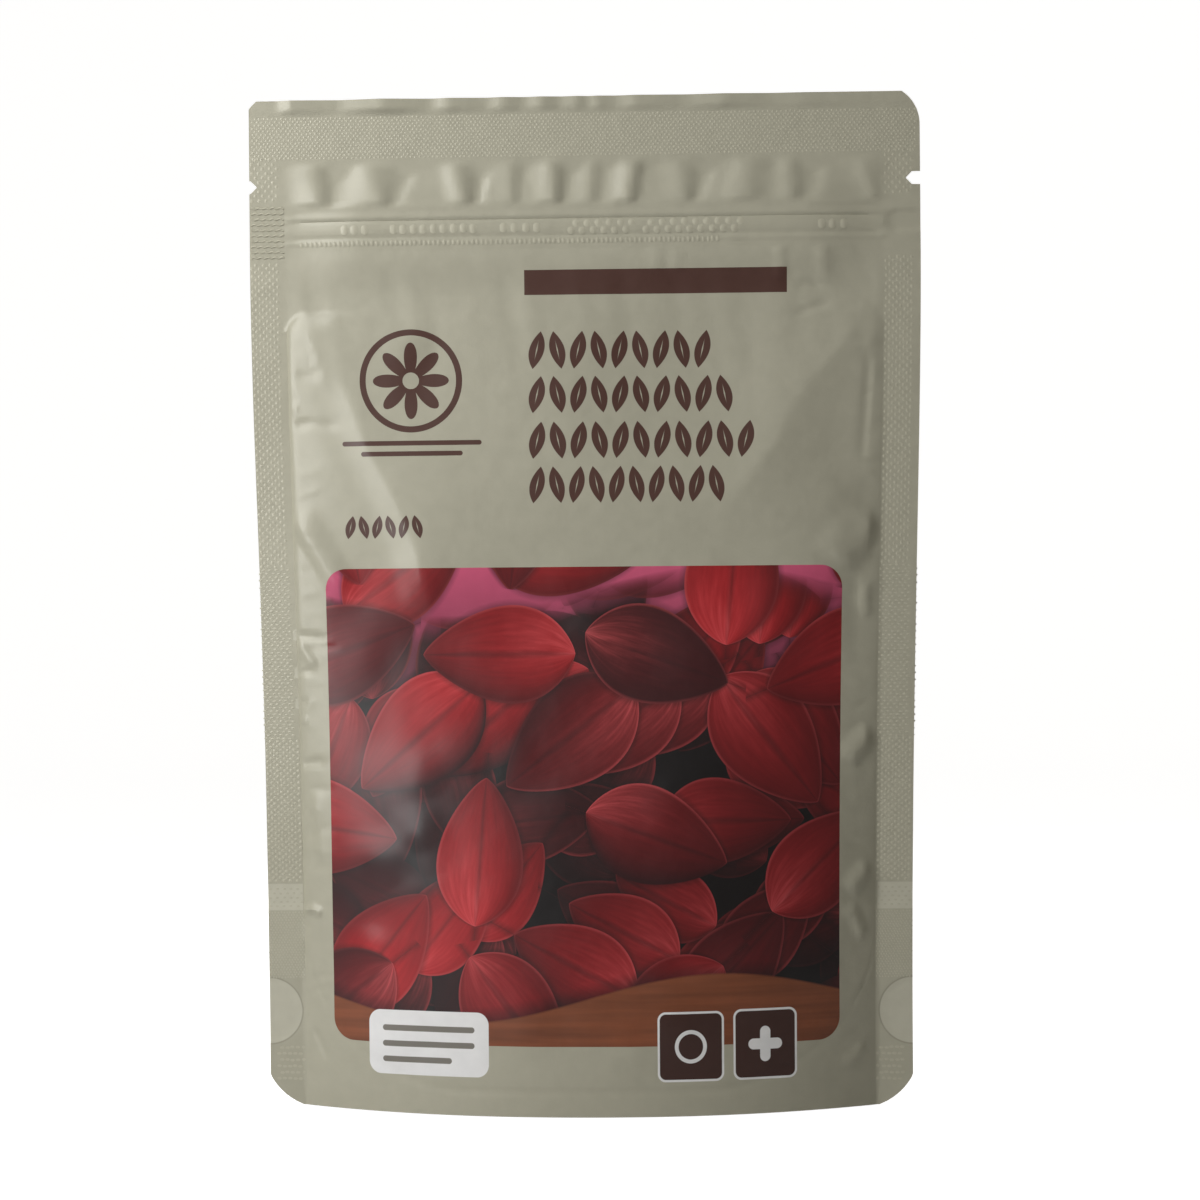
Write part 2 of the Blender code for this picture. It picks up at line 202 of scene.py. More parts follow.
FOLDS_MM = {FRONT: (
    Fold(0.75, 4.5, 14, ((-63, 158.5), (-58.6, 161), (-53, 161.4), (-46.8, 160.6), (-39, 158.8),
                         (-31, 156.6))),
    Fold(-0.22, 1.4, 2, ((-62.9, 142.3), (-58.1, 142.4), (-51.1, 141.6))),
    Fold(-0.14, 0.8, 0.8, ((-62.7, 147.8), (-59.9, 147.3))),
    Fold(0.14, 0.8, 0.8, ((-62.6, 146.1), (-60.2, 145))),
    Fold(0.35, 26, 16, ((-60.5, 166.5), (-58.6, 163.6), (-55.6, 160.3), (-52.1, 154.5),
                        *LEFT_CREST)),
    Fold(0.75, 24, 6.5, ((-54, 158), *LEFT_CREST), True),
    Fold(0.8, 5.5, 2.4, ((-62.6, 125), (-60, 119.5), (-57, 114.6), (-54, 109.5), (-51.5, 104))),
    Fold(-0.4, 10, 14, ((54, 182), (53, 160), (52, 146), (51, 134), (51, 122))),
    Fold(0.8, 8, 20, ((52, 134), (50.5, 122), (50, 110), (50, 98), (50, 88))),
    Fold(-0.5, 1.1, 1.1, ((-62.8, 98.3), (-59.2, 97.9), (-55.5, 97.3))),
    Fold(0.35, 1.5, 1.6, ((-62.7, 97.1), (-60.3, 94.1), (-58.1, 90.8))),
    Fold(-0.35, 0.9, 1, ((-62.7, 90.2), (-59.9, 90.8), (-58.5, 91.4))),
    Fold(-0.25, 0.8, 0.8, ((-62.7, 84.1), (-60.1, 84.3))),
    Fold(0.25, 0.8, 0.8, ((-62.6, 80.1), (-60.3, 80.4))),
    Fold(-0.45, 1.4, 1.4, ((-62.5, 71.1), (-59.4, 71.6), (-56.3, 71.9))),
    Fold(0.35, 3, 2, ((-59.3, 67), (-58.4, 57.6), (-57.9, 49.3))),
    Fold(0.75, 1.1, 1.3, ((-63.3, 40.6), (-60.3, 41.1), (-57.7, 40))),
    Fold(-0.35, 1.2, 1.2, ((-61.8, 38.7), (-62, 36.6), (-62.4, 34.5))),
    Fold(-0.16, 0.7, 0.7, ((-61.8, 26.2), (-58.9, 27), (-55.1, 27.6))),
    Fold(-0.18, 0.7, 0.7, ((-61.8, 23.2), (-58.9, 24.5), (-55.1, 25.1))),
    Fold(-0.3, 1.3, 1, ((-60.7, 16.6), (-59.1, 13.4), (-57, 9.4))),
    Fold(0.9, 20, 17, ((60, 170), (56.5, 162), (53, 156.5), (47, 150), (43.6, 145.5), (41, 138.5),
                       (35.5, 131), (30, 124), (26, 117)), True),
    Fold(-0.2, 1.4, 1.8, ((59.7, 157.2), (58.9, 145.8), (58.1, 132.4))),
    Fold(0.9, 5, 8, ((62, 123.4), (58.3, 117.9), (52.6, 111.1))),
    Fold(-0.3, 1.2, 1.2, ((43.9, 169.8), (47, 170.4), (49.9, 169.1))),
    Fold(-0.3, 1.4, 1, ((43.5, 163.8), (47.4, 165), (51.5, 166.2))),
    Fold(0.35, 2.5, 2.2, ((59.7, 108.6), (59.3, 104), (60.7, 100.7))),
    Fold(0.8, 3, 4, ((62.3, 77.2), (58.8, 74.5), (55.4, 71))),
    Fold(0.7, 2.5, 3.5, ((62, 49.3), (59, 47), (56.3, 44.2))),
    Fold(0.5, 2.2, 1.8, ((55.9, 42.2), (58.1, 38.7), (59.9, 34.1))),
    Fold(-0.15, 0.7, 0.7, ((58.9, 24.6), (61.8, 23.8))),
    Fold(0.3, 2, 2, ((60.2, 13), (58, 10.5), (55.1, 8.8))),
    Fold(0.28, 1.6, 1.6, ((41.1, 179.4), (41, 171.2))),
    Fold(0.3, 2.2, 1.8, ((49.5, 179.4), (49.9, 170.1))),
    Fold(0.16, 1.6, 1.6, ((15.3, 179.4), (15.3, 172.6))),
    Fold(0.16, 1.6, 1.6, ((19.6, 179.4), (19.5, 172.5))),
), BACK: (
    Fold(0.5, 2, 7, ((-58.6, 163.8), (-54, 164.4), (-47, 162.6))),
    Fold(0.6, 5, 4, ((58.8, 162.2), (55, 156), (52, 149))),
    Fold(-0.5, 1.5, 1.5, ((-62.9, 139), (-56, 138.2), (-50, 138.6))),
    Fold(0.9, 7, 6, ((-50, 140), (-46.5, 131), (-41, 122), (-38.5, 114))),
    Fold(1.1, 16, 14, ((-47, 172), (-46.5, 150), (-42.5, 130), (-39, 104))),
    Fold(1.1, 13, 17, ((48, 174), (47, 152), (43, 130), (40, 104))),
    Fold(0.9, 5, 9, ((56, 147), (49, 138), (40, 130), (35, 121))),
    Fold(0.8, 4, 6, ((62.6, 120), (57.5, 115), (52.8, 109))),
    Fold(-0.4, 1.1, 1.1, ((-62.6, 99), (-57, 98.4))), Fold(0.3, 1, 1, ((-62.6, 88), (-58.6, 87.4))),
    Fold(-0.4, 1.3, 1.3, ((-62.5, 74), (-57, 73.2))), Fold(0.7, 3, 4, ((62.3, 80), (57, 76))),
    Fold(-0.4, 1.2, 1.2, ((62.5, 66), (57, 66.6))), Fold(0.7, 1.2, 1.4, ((-63, 40.4), (-58, 40.6))),
    Fold(0.7, 1.3, 1.5, ((57.6, 40.2), (62.8, 40.4))), Fold(0.6, 2.5, 3.5, ((62, 52), (56.6, 48))),
)}

# The film's relief over the zip strip: (height, half width, rise), all in mm
ZIP_PROFILE_MM = (
    (186.4, 0.4, -0.16), (185.2, 0.7, 0.12), (184.4, 0.45, -0.26), (182.6, 1.4, 0.12),
    (180.9, 0.4, -0.26), (180, 0.7, 0.16),
)

# The zip's crushed end in the right side seal: its inner end, middle height, half height and rise
NOSE_MM = (62.7, 183.3, 2.6, 0.3)

# Where the seals are embossed, as (lowest u, lowest z, width, height), all in mm
Patch = namedtuple("Patch", "u z width height")
TOP_SEAL_DOTS = Patch(-69.2, 197.9, 138.4, 8.4)
UPPER_DOTS = Patch(62.9, 189.2, 6.6, 8.2)
TALL_DOTS = Patch(62.9, 112.5, 6.6, 63.4)
WOVEN_DOTS = Patch(62.7, 76.5, 7, 35)
LOWER_DOTS = Patch(62.9, 46.8, 6.6, 29)
BAND_DOTS = Patch(62.9, 41.4, 6.6, 4)
LAP_WEAVE = Patch(62.6, 26.6, 7.2, 13.4)
ZIP_END_RIBS = Patch(-69.7, 177.2, 6.9, 9.9)
FOOT_RIBS = Patch(62.9, 5.4, 5.2, 6.6)

# The soft ovals along the zip, as groups: the first one's u, their pitch, how many there are in a
# row, the lowest row's height and how many rows there are
ZIP_OVALS_MM = (
    (-49.9, 2.15, 3, 182.65, 1), (-39.6, 2.1, 9, 182.65, 1), (-16.6, 2.35, 4, 182.65, 1),
    (-2.5, 2.3, 6, 181.9, 2), (13.1, 2.3, 9, 181.9, 2), (49.5, 2.3, 3, 182.65, 1),
)
ZIP_TICKS = Patch(-59, 179.8, 88, 0.1)

# The print, as rounded boxes: centre, half size and corner radius in mm, and the ink. The
# picture has its own inks
PICTURE = (-0.6, 63.1, 55, 48.8, 4.6)
FRONT_BOXES = (
    (15, 171.15, 27.3, 2.6, 0.05, "brown"),
    (-36.2, 137.9, 14.8, 0.5, 0.5, "brown"),
    (-36.2, 135.7, 10.8, 0.5, 0.5, "brown"),
    (-34.1, 14.45, 13.3, 6.6, 2.6, "white"),
    (-34.1, 17.4, 10.2, 0.6, 0.6, "grey"),
    (-34.1, 14.2, 10.2, 0.6, 0.6, "grey"),
    (-36.6, 11.0, 7.7, 0.6, 0.6, "grey"),
    (22.45, 14.1, 7.05, 7.1, 1.7, "white"),
    (22.45, 14.1, 6.6, 6.65, 1.3, "dark_brown"),
    (22.45, 14.1, 3.4, 3.4, 3.4, "white"),
    (22.45, 14.1, 2.6, 2.6, 2.6, "dark_brown"),
    (38.3, 14.2, 6.8, 7.2, 1.7, "white"),
    (38.3, 14.2, 6.35, 6.75, 1.3, "dark_brown"),
    (38.3, 14.2, 1.1, 3.6, 1.1, "white"),
    (38.3, 14.2, 3.6, 1.1, 1.1, "white"),
)
BACK_BOXES = (
    (0, 171.85, 53.5, 2.95, 0.05, "brown"),
    (0, 60, 53.5, 46, 4.6, "dark_brown"),
    (0, 60, 53.1, 45.6, 4.2, "cream"),
    (30, 31, 18, 11, 1.6, "white"),
)

# Rows of plain leaves: left end, foot, right end, height and pitch, all in mm
FRONT_ROWS = (
    (-11.9, 153, 26.9, 7.9, 4.31), (-11.9, 143.8, 31.5, 7.7, 4.34),
    (-11.9, 134.3, 36.1, 7.7, 4.36), (-11.9, 125.1, 29.9, 7.6, 4.18),
    (-51.2, 118.1, -33.8, 4.8, 2.9),
)
BACK_ROWS = tuple(
    (-48, foot, right, 1.5, 1.6)
    for foot, right in ((158, 30), (154, 44), (150, 38), (146, 45), (142, 20), (96, 44), (92, 40),
                        (88, 45), (84, 28), (76, 44), (72, 45), (68, 36), (60, 6), (56, 4),
                        (52, 6), (48, 2), (44, 5), (36, 4), (32, 6), (28, -8))
)

# A plain rosette in a ring, in mm
ROUNDEL = {"Centre U": -36.2, "Centre Z": 150.9, "Radius": 10.8}

# How fast the masks rise across the edge of the ink and of the smooth marks, per mm
INK_EDGE, SMOOTH_EDGE = 12, 5

# The picture's layers from the back: pitch and offset in mm, and how bright each one is
PETAL_LAYERS = (
    (30.0, 7.3, 0.15), (33.0, 31.9, 0.3), (29.0, 58.4, 0.4), (35.0, 83.0, 0.55),
    (31.0, 111.7, 0.7), (34.0, 133.1, 0.85), (38.0, 160.2, 1.0), (36.0, 203.7, 1.0),
)


def srgb(red, green, blue):
    """A colour given in 0 to 255 steps, as the linear values that a shader takes."""
    steps = (channel / 255 for channel in (red, green, blue))
    return tuple(s / 12.92 if s <= 0.04045 else ((s + 0.055) / 1.055) ** 2.4 for s in steps)


def length_of(label, text, value):
    """A property that holds a length."""
    return FloatProperty(name=label, description=text, unit="LENGTH", default=value)


def angle_of(label, text, degrees):
    """A property that holds an angle."""
    return FloatProperty(
        name=label, description=text, subtype="ANGLE", default=math.radians(degrees))


def colour_of(label, text, *steps):
    """A property that holds a colour, given in 0 to 255 steps."""
    return FloatVectorProperty(
        name=label, description=text, subtype="COLOR", default=srgb(*steps), min=0, max=1)


class PouchSheet(PropertyGroup):
    """Sizes of the flat film and of the belly that the filling gives it."""

    width: length_of("Sheet width", "Width of the flat film", 140 * MM)
    height: length_of("Sheet height", "Height of the flat film", 210 * MM)
    side_seal: length_of("Side seal", "Width of each side seal", 7.5 * MM)
    film: length_of("Film", "Thickness of the laminate", 0.14 * MM)
    belly_depth: length_of("Belly", "Depth of half the filled belly at the base", 16.8 * MM)
    belly_top: length_of("Belly top", "Height at which the belly ends", 178 * MM)
    gusset_rise: length_of("Gusset", "Height of the fold of the base gusset", 40 * MM)
    cell: length_of("Cell", "Spacing of the film's mesh", 0.92 * MM)
    lump_rise: length_of("Lumps", "How far single berries push the film out", 0.32 * MM)
    lump_count: IntProperty(
        name="Lump count", description="How many berries show through each film", default=90)


class PouchInks(PropertyGroup):
    """Colours of the film, the inks and the fruit."""

    taupe: colour_of("Taupe", "Pearl ink over the metallised film", 174, 171, 153)
    brown: colour_of("Brown", "Ink of the bars and the leaves", 78, 49, 41)
    dark_brown: colour_of("Dark brown", "Ink of the two square marks", 62, 36, 30)
    white: colour_of("White", "White ink", 232, 232, 232)
    grey: colour_of("Grey", "Ink of the rules on the white card", 120, 116, 108)
    cream: colour_of("Cream", "Ink of the panel on the back", 214, 206, 186)
    red: colour_of("Red", "Lit petals of the picture", 214, 30, 38)
    maroon: colour_of("Maroon", "Shaded petals of the picture", 58, 8, 15)
    shadow: colour_of("Shadow", "Gaps between the picture's petals", 12, 5, 8)
    petal_rim: colour_of("Petal rim", "Lit edges of the picture's petals", 226, 128, 132)
    pink: colour_of("Pink", "Light behind the petals, at the picture's head", 200, 84, 118)
    tan: colour_of("Tan", "Band along the picture's foot", 150, 84, 52)
    fruit: colour_of("Fruit", "Skin of the dried berries", 96, 18, 26)


class PouchStage(PropertyGroup):
    """The camera's place and what it shows."""

    distance: length_of("Distance", "From the camera to the pouch", 0.65)
    frame_width: length_of("Frame width", "Width that the picture shows at the pouch", 0.25)
    turn: angle_of("Turn", "How far the camera stands round to the right", 3)
    roll: angle_of("Roll", "How far the picture leans to the left", 0.48)
    aim_x: length_of("Aim across", "Picture centre to the right of the pouch's", 2.85 * MM)
    aim_z: length_of("Aim up", "Height of the picture's centre", 105 * MM)


def ease(low, high, value):
    """0 below low, 1 above high, and smooth between them."""
    share = np.clip((value - low) / (high - low), 0, 1)
    return share * share * (3 - 2 * share)


def bump(distance):
    """1 at no distance, and 0 from a distance of 1 on."""
    return np.clip(1 - distance**2, 0, 1) ** 2


def zone(z, low, full, fading, gone):
    """1 between two heights, and smooth down to 0 below and above them. All are in mm."""
    return ease(low * MM, full * MM, z) * (1 - ease(fading * MM, gone * MM, z))


def half_inner(s):
    """Distance from the centre line to a side seal on the flat sheet."""
    return s.width / 2 - s.side_seal


def belly(s, z):
    """Depth of the filled belly at mid-width."""
    share = np.clip(z / s.belly_top, 0, 1)
    return s.belly_depth * (1 - share**BELLY_RISE_POWER) ** BELLY_EASE_POWER


def belly_across(s, u):
    """Share of the belly's depth that is left at a distance from the centre line."""
    return 1 - np.clip(np.abs(u) / half_inner(s), 0, 1) ** BELLY_ACROSS_POWER


def across(s, u, z):
    """Distance from the centre line in the filled pouch, whose belly draws its sides in."""
    inner = half_inner(s)
    drawn_in = 4 / 3 * belly(s, z) ** 2 / (2 * inner)
    return np.sign(u) * (
        np.minimum(np.abs(u), inner) * (1 - drawn_in / inner) + np.maximum(np.abs(u) - inner, 0)
    )


def zip_fade(s, u):
    """The stand-off dies away towards the side seals, where the zip is crushed flat."""
    return 1 - ease(ZIP_CRUSH, half_inner(s) + 0.6 * MM, np.abs(u))


def zip_rise(s, u, z):
    """The film stands off over the zip strip and shows its ridges and grooves."""
    lift = ease(ZIP_FADE_FOOT, ZIP_FOOT, z) * (z <= ZIP_HEAD)
    profile = sum(
        rise * MM * bump((z - height * MM) / (half * MM))
        for height, half, rise in ZIP_PROFILE_MM
    )
    shown = 1 - ease(-0.6 * MM, 0.6 * MM, np.abs(u) - half_inner(s))
    fade = zip_fade(s, u)
    return np.maximum(ZIP_RISE * lift * fade + profile * shown, STRIP_RISE * lift * fade**2)


def pucker_rise(s, u, z):
    """The slack film stands off as one swell, with folds that narrow down to the zip."""
    share = (z - ZIP_HEAD) / (TOP_SEAL_FOOT - ZIP_HEAD)
    inside = (share > 0) & (share < 1)
    share = np.clip(share, 0, 1)
    folds = np.zeros_like(u + z)
    for (foot, head, rise), (next_foot, next_head, next_rise) in zip(PUCKERS_MM, PUCKERS_MM[1:]):
        start = (foot + (head - foot) * share) * MM
        end = (next_foot + (next_head - next_foot) * share) * MM
        between = (u >= start) & (u < end)
        narrowing = 1 + PUCKER_NARROWING * (1 - share)
        climb = ease(start, end, u)
        climb = climb**narrowing if next_rise > rise else 1 - (1 - climb) ** narrowing
        folds = np.where(between, (rise + (next_rise - rise) * climb) * MM, folds)
    swell = PUCKER_SWELL * (1 - ease(0, 1, share)) * zip_fade(s, u)
    taper = ease(0, PUCKER_FOOT, share) * (1 - ease(PUCKER_HEAD, 1, share))
    return np.maximum(swell + PUCKER_DEPTH * folds * taper, 0.1 * swell) * inside


def lip_rise(u, z):
    """Above the top seal the two films stand a little apart in uneven waves."""
    places, rises = zip(*(
        point for start, crest, end, rise in LIP_WAVES_MM
        for point in ((start, 0), (crest, rise), (end, 0))))
    waves = np.interp(u, np.array(places) * MM, np.array(rises) * MM)
    return (LIP_GAP + waves) * ease(TOP_SEAL_HEAD, TOP_SEAL_HEAD + LIP_OPENING, z)


def pillow_rise(s, u, z, left, right):
    """The belly's film rolls up steeply from the side seals, round a soft corner at its top."""
    reach = np.abs(u) - (half_inner(s) - PILLOW_CORNER)
    climb = z - (PILLOW_TOP - PILLOW_CORNER)
    outside = np.hypot(np.maximum(reach, 0), np.maximum(climb, 0))
    inset = PILLOW_CORNER - outside - np.minimum(np.maximum(reach, climb), 0)
    share = np.clip(inset / PILLOW_ROLL, 0, 1)
    fade = ease(*PILLOW_SIDE, np.abs(u)) * ease(*PILLOW_FOOT, z)
    height = np.where(u < 0, left, right)
    return height * np.sqrt(1 - (1 - share) ** 2) * fade


def fold_rise(folds, u, z):
    """Crests and valleys, each with one slope to its left and another to its right."""
    rise = np.zeros_like(u + z)
    for fold in folds:
        route = np.array(fold.route) * MM
        runs = np.diff(route, axis=0)
        lengths = np.hypot(*runs.T)
        nearest, walked, left = np.full_like(rise, 1.0), rise * 0, rise > 1
        for start, run, length, before in zip(route, runs, lengths, np.cumsum(lengths) - lengths):
            off_u, off_z = u - start[0], z - start[1]
            along = np.clip((off_u * run[0] + off_z * run[1]) / length**2, 0, 1)
            gap = np.hypot(off_u - along * run[0], off_z - along * run[1])
            closer = gap < nearest
            nearest = np.where(closer, gap, nearest)
            walked = np.where(closer, before + along * length, walked)
            left = np.where(closer, run[0] * off_z - run[1] * off_u > 0, left)
        share = walked / lengths.sum()
        taper = ease(0, FOLD_TAPER, share) * ease(0, FOLD_TAPER, 1 - share)
        width = np.where(left, fold.left, fold.right) * MM
        slope = (1 - np.clip(nearest / width, 0, 1)) ** 2 if fold.crisp else bump(nearest / width)
        rise = rise + fold.rise * MM * taper * slope
    return rise


def lump_rise(s, u, z, seed):
    """Berries that lean on the film from inside."""
    draw = np.random.default_rng(seed)
    rise = np.zeros_like(u + z)
    for _ in range(s.lump_count):
        place_u = draw.uniform(-50, 50) * MM
        place_z = draw.uniform(12, 112) * MM
        size = draw.uniform(6, 10) * MM
        height = draw.uniform(0.3, 1) * s.lump_rise
        rise = rise + height * bump(np.hypot(u - place_u, z - place_z) / size)
    return rise


def crease_rise(s, u, z, seed):
    """Short tucks that run in from the side seals, where the flat film turns into the belly."""
    draw = np.random.default_rng(seed)
    rise = np.zeros_like(u + z)
    inner = half_inner(s)
    for side in (-1, 1):
        for place in np.arange(48, 160, 4.6):
            place_z = (place + draw.uniform(-1.8, 1.8)) * MM
            length = draw.uniform(4, 10) * MM
            lean = draw.uniform(-0.35, 0.35)
            height = draw.uniform(-0.15, 0.15) * MM
            inset = inner - side * u
            gap = (z - place_z - lean * inset) / (draw.uniform(0.8, 1.7) * MM)
            reach = np.clip(inset / length, 0, 1)
            rise = rise + height * bump(gap) * np.sin(math.pi * reach) * (side * u > 0)
    return rise


def hollow_rise(u, z):
    """The film sinks a little between the ridges at its sides."""
    rise = np.zeros_like(u + z)
    for place_u, place_z, half, below, above, depth in np.array(HOLLOWS_MM) * MM:
        near = bump((z - place_z) / np.where(z < place_z, below, above))
        rise = rise - depth * near * bump((u - place_u) / half)
    return rise


def flat_loss(s, u, z):
    """What the front belly's depth loses from the fruit's middle upwards."""
    lost = ease(FLAT_FOOT, FLAT_FULL, z) * (1 - FLAT_EASED * ease(FLAT_FULL, FLAT_HEAD, z))
    return FLATTENED * lost * belly(s, z) * belly_across(s, u)


def ripple_rise(s, u, z, seed):
    """Faint upright ripples in the taut film under the zip."""
    draw = np.random.default_rng(seed)
    waves = np.zeros_like(u + z)
    for length in (5.9, 8.3, 12.7):
        lean = draw.uniform(-0.25, 0.25)
        turn = (u + lean * (z - 160 * MM)) / (length * MM) + draw.uniform(0, 1)
        waves = waves + length * 0.0036 * MM * np.sin(math.tau * turn)
    return waves * zone(z, *RIPPLES_MM) * ease(0, 6 * MM, half_inner(s) - np.abs(u))


def seal_height(s, u):
    """Height of the gusset's weld: a low skirt that sweeps up to the side seals."""
    share = np.clip((np.abs(u) - ARC_START) / (half_inner(s) - ARC_START), 0, 1)
    return SKIRT_SEAL + (GUSSET_SEAL_TOP - SKIRT_SEAL) * (1 - np.sqrt(1 - share**2))


def weld_line(s, u, z):
    """The gusset's weld leaves a shallow line along its upper edge."""
    near = bump((z - seal_height(s, u)) / WELD_HALF)
    return -WELD_DIP * near * (np.abs(u) < half_inner(s))


def spot_dip(s, u, z):
    """Through the punched holes of the gusset the panels are pressed onto each other."""
    distance = np.hypot(np.abs(u) - s.width / 2, z - SPOT_HEIGHT)
    return s.film * SPOT_DIP * (1 - ease(SPOT_RADIUS - 0.35 * MM, SPOT_RADIUS, distance))


def nose_rise(side, u, z):
    """The zip's crushed end is pressed back in the seal on the viewer's right of the front."""
    start, middle, half, rise = (value * MM for value in NOSE_MM)
    inset = half - np.hypot(np.maximum(start + half - side * -u, 0), z - middle)
    return side * rise * ease(0, 1.1 * MM, inset)


def seal_bend(s, side, u, z):
    """The seal on the viewer's left of the front leans back over the belly's height."""
    reach = np.maximum(side * u - half_inner(s), 0) / (s.width / 2 - half_inner(s))
    return side * SEAL_BEND * reach * zone(z, *SEAL_BEND_MM)


def film_depth(s, u, z, side):
    """Distance of a panel's outer face from the closing plane."""
    lump_seed, tuck_seed, ripple_seed = SEEDS[side]
    rim = half_inner(s) - np.abs(u)
    welded = np.maximum(
        ease(half_inner(s) - WELD_INSET, half_inner(s), np.abs(u)),
        1 - ease(0, WELD_FADE, z - seal_height(s, u)))
    lap = LAP_LIFT * s.film * (1 - ease(LAP_HEAD, LAP_FADE, z)) * welded
    depth = s.film + lap - spot_dip(s, u, z) * (z < LAP_HEAD)
    depth = depth + belly(s, z) * belly_across(s, u)
    depth = depth + zip_rise(s, u, z) + pucker_rise(s, u, z) + lip_rise(u, z)
    slack = ease(0, SLACK_INSET, rim) * (1 - ease(SLACK_HEAD, SLACK_END, z))
    lumps = lump_rise(s, u, z, lump_seed)
    tucks = crease_rise(s, u, z, tuck_seed)
    folds = fold_rise(FOLDS_MM[side], u, z)
    pillow = pillow_rise(s, u, z, *PILLOW_RISES[side])
    still = 1 - ease(ZIP_FOOT - 1 * MM, ZIP_FOOT + 1 * MM, z)
    inner = np.where(side * u < 0, ease(0, 3 * MM, rim), rim > 0)
    ripples = ripple_rise(s, u, z, ripple_seed)
    depth = depth + (lumps + tucks) * slack + folds * still * inner + pillow + ripples
    depth = depth + hollow_rise(u if side == FRONT else -u, z)
    if side == FRONT:
        depth = depth - flat_loss(s, u, z)
    return depth + weld_line(s, u, z) + nose_rise(side, u, z) + seal_bend(s, side, u, z)


def corner_reach(corner, climb):
    """How far the die cuts in at a climb above the arc's lower end. The arc's chord is the cut."""
    chord = math.hypot(corner.reach, corner.rise)
    turn = math.atan2(corner.reach, corner.rise)
    half_angle = math.asin(min(chord / (2 * corner.radius), 1))
    start = turn - half_angle
    centre = corner.radius * math.cos(start)
    base = corner.radius * math.sin(start)
    level = np.clip(base + np.clip(climb, 0, corner.rise), -corner.radius, corner.radius)
    return np.where(climb > 0, centre - np.sqrt(corner.radius**2 - level**2), 0)


def notch_reach(z, depth, slot):
    """How far a tear notch cuts in: a straight slot, then a V."""
    share = np.clip(1 - np.abs(z - NOTCH_HEIGHT) / NOTCH_HALF, 0, 1)
    return np.where(share > 0, slot + (depth - slot) * share, 0)


def edge_of(s, z, right):
    """Half width of the die-cut sheet at a height."""
    foot = corner_reach(BOTTOM_CORNER, BOTTOM_CORNER.rise - z)
    head = TOP_RIGHT_CORNER if right else TOP_LEFT_CORNER
    top = corner_reach(head, z - (s.height - head.rise))
    depth = RIGHT_NOTCH_DEPTH if right else LEFT_NOTCH_DEPTH
    slot = RIGHT_NOTCH_SLOT if right else LEFT_NOTCH_SLOT
    return s.width / 2 - np.maximum(np.maximum(foot, top), notch_reach(z, depth, slot))


def sheet_columns(s):
    """Shares across the sheet: -1 and 1 stand for the seals' inner edges, -2 and 2 for the cut
    edges. The columns crowd together where the film rolls up from the seals."""
    seal = np.linspace(1, 2, max(round(s.side_seal / s.cell), 1) + 1)[1:]
    roll = 1 - ROLL_ZONE / half_inner(s)
    fine = np.linspace(roll, 1, round(ROLL_ZONE / (0.45 * s.cell)) + 1)[1:]
    middle = np.linspace(-roll, roll, round(2 * roll * half_inner(s) / (1.2 * s.cell)) + 1)
    return np.concatenate((-seal[::-1], -fine[::-1], middle, fine, seal))


def sheet_rows(s):
    """Heights of the mesh's rows: close together over the zip, and one at each turn of a notch."""
    rows = np.concatenate([
        np.arange(low * MM, high * MM, s.cell * share) for low, high, share in ROW_ZONES_MM])
    step = 0.02 * MM
    low, high = NOTCH_HEIGHT - NOTCH_HALF, NOTCH_HEIGHT + NOTCH_HALF
    turns = np.array((low - step, low + step, NOTCH_HEIGHT, high - step, high + step, s.height))
    rows = rows[[np.abs(turns - row).min() > 0.12 * MM for row in rows]]
    return np.sort(np.concatenate((rows, turns)))


def sheet_grid(s, side):
    """u and z of each point of a film, with the die-cut edges followed by the outer columns."""
    shares, z = np.meshgrid(sheet_columns(s), sheet_rows(s))
    inner = half_inner(s)
    seal = np.maximum(np.abs(shares) - 1, 0)
    edge = np.where(shares * -side > 0, edge_of(s, z, True), edge_of(s, z, False))
    u = np.clip(shares, -1, 1) * inner + np.sign(shares) * seal * (edge - inner)
    return u, z


def grid_mesh(name, points, sheet):
    """A mesh through rows of points, with the sheet's own places as its UV map."""
    rows, columns = points.shape[:2]
    index = np.arange(rows * columns).reshape(rows, columns)
    corners = np.stack(
        (index[:-1, :-1], index[:-1, 1:], index[1:, 1:], index[1:, :-1]), axis=-1
    ).reshape(-1, 4)
    mesh = bpy.data.meshes.new(name)
    mesh.from_pydata(points.reshape(-1, 3).tolist(), [], corners.tolist())
    places = sheet.reshape(-1, 2)[corners.reshape(-1)]
    mesh.uv_layers.new(name=UV_NAME).data.foreach_set("uv", places.astype(np.float32).ravel())
    mesh.shade_smooth()
    mesh.update()
    return mesh


def to_uv(s, u, z):
    """The sheet's place as a UV: the whole sheet's height is 1, and its centre line is at 0.5."""
    return np.stack((0.5 + u / s.height, z / s.height), axis=-1)


def link(name, data):
    """A new object in the scene, with this mesh, light or camera."""
    obj = bpy.data.objects.new(name, data)
    bpy.context.scene.collection.objects.link(obj)
    return obj


def film_points(s, side):
    """The outer face of a film in rows of points, and their places in the UV map."""
    u, z = sheet_grid(s, side)
    depth = film_depth(s, u, z, side)
    return np.stack((-side * across(s, u, z), side * depth, z), axis=-1), to_uv(s, u, z)


def baked(obj):
    """The object with its modifiers made into one plain mesh."""
    bpy.context.view_layer.update()
    depsgraph = bpy.context.evaluated_depsgraph_get()
    mesh = bpy.data.meshes.new_from_object(
        obj.evaluated_get(depsgraph), preserve_all_data_layers=True, depsgraph=depsgraph
    )
    obj.modifiers.clear()
    obj.data = mesh
    return obj


def thicken(obj, thickness):
    """Gives a film its thickness, inwards. Its inner face takes the second material."""
    solid = obj.modifiers.new("film", "SOLIDIFY")
    solid.thickness = thickness
    solid.offset = -1
    solid.use_even_offset = True
    solid.material_offset = 1
    baked(obj).data.set_sharp_from_angle(angle=math.radians(40))
    return obj


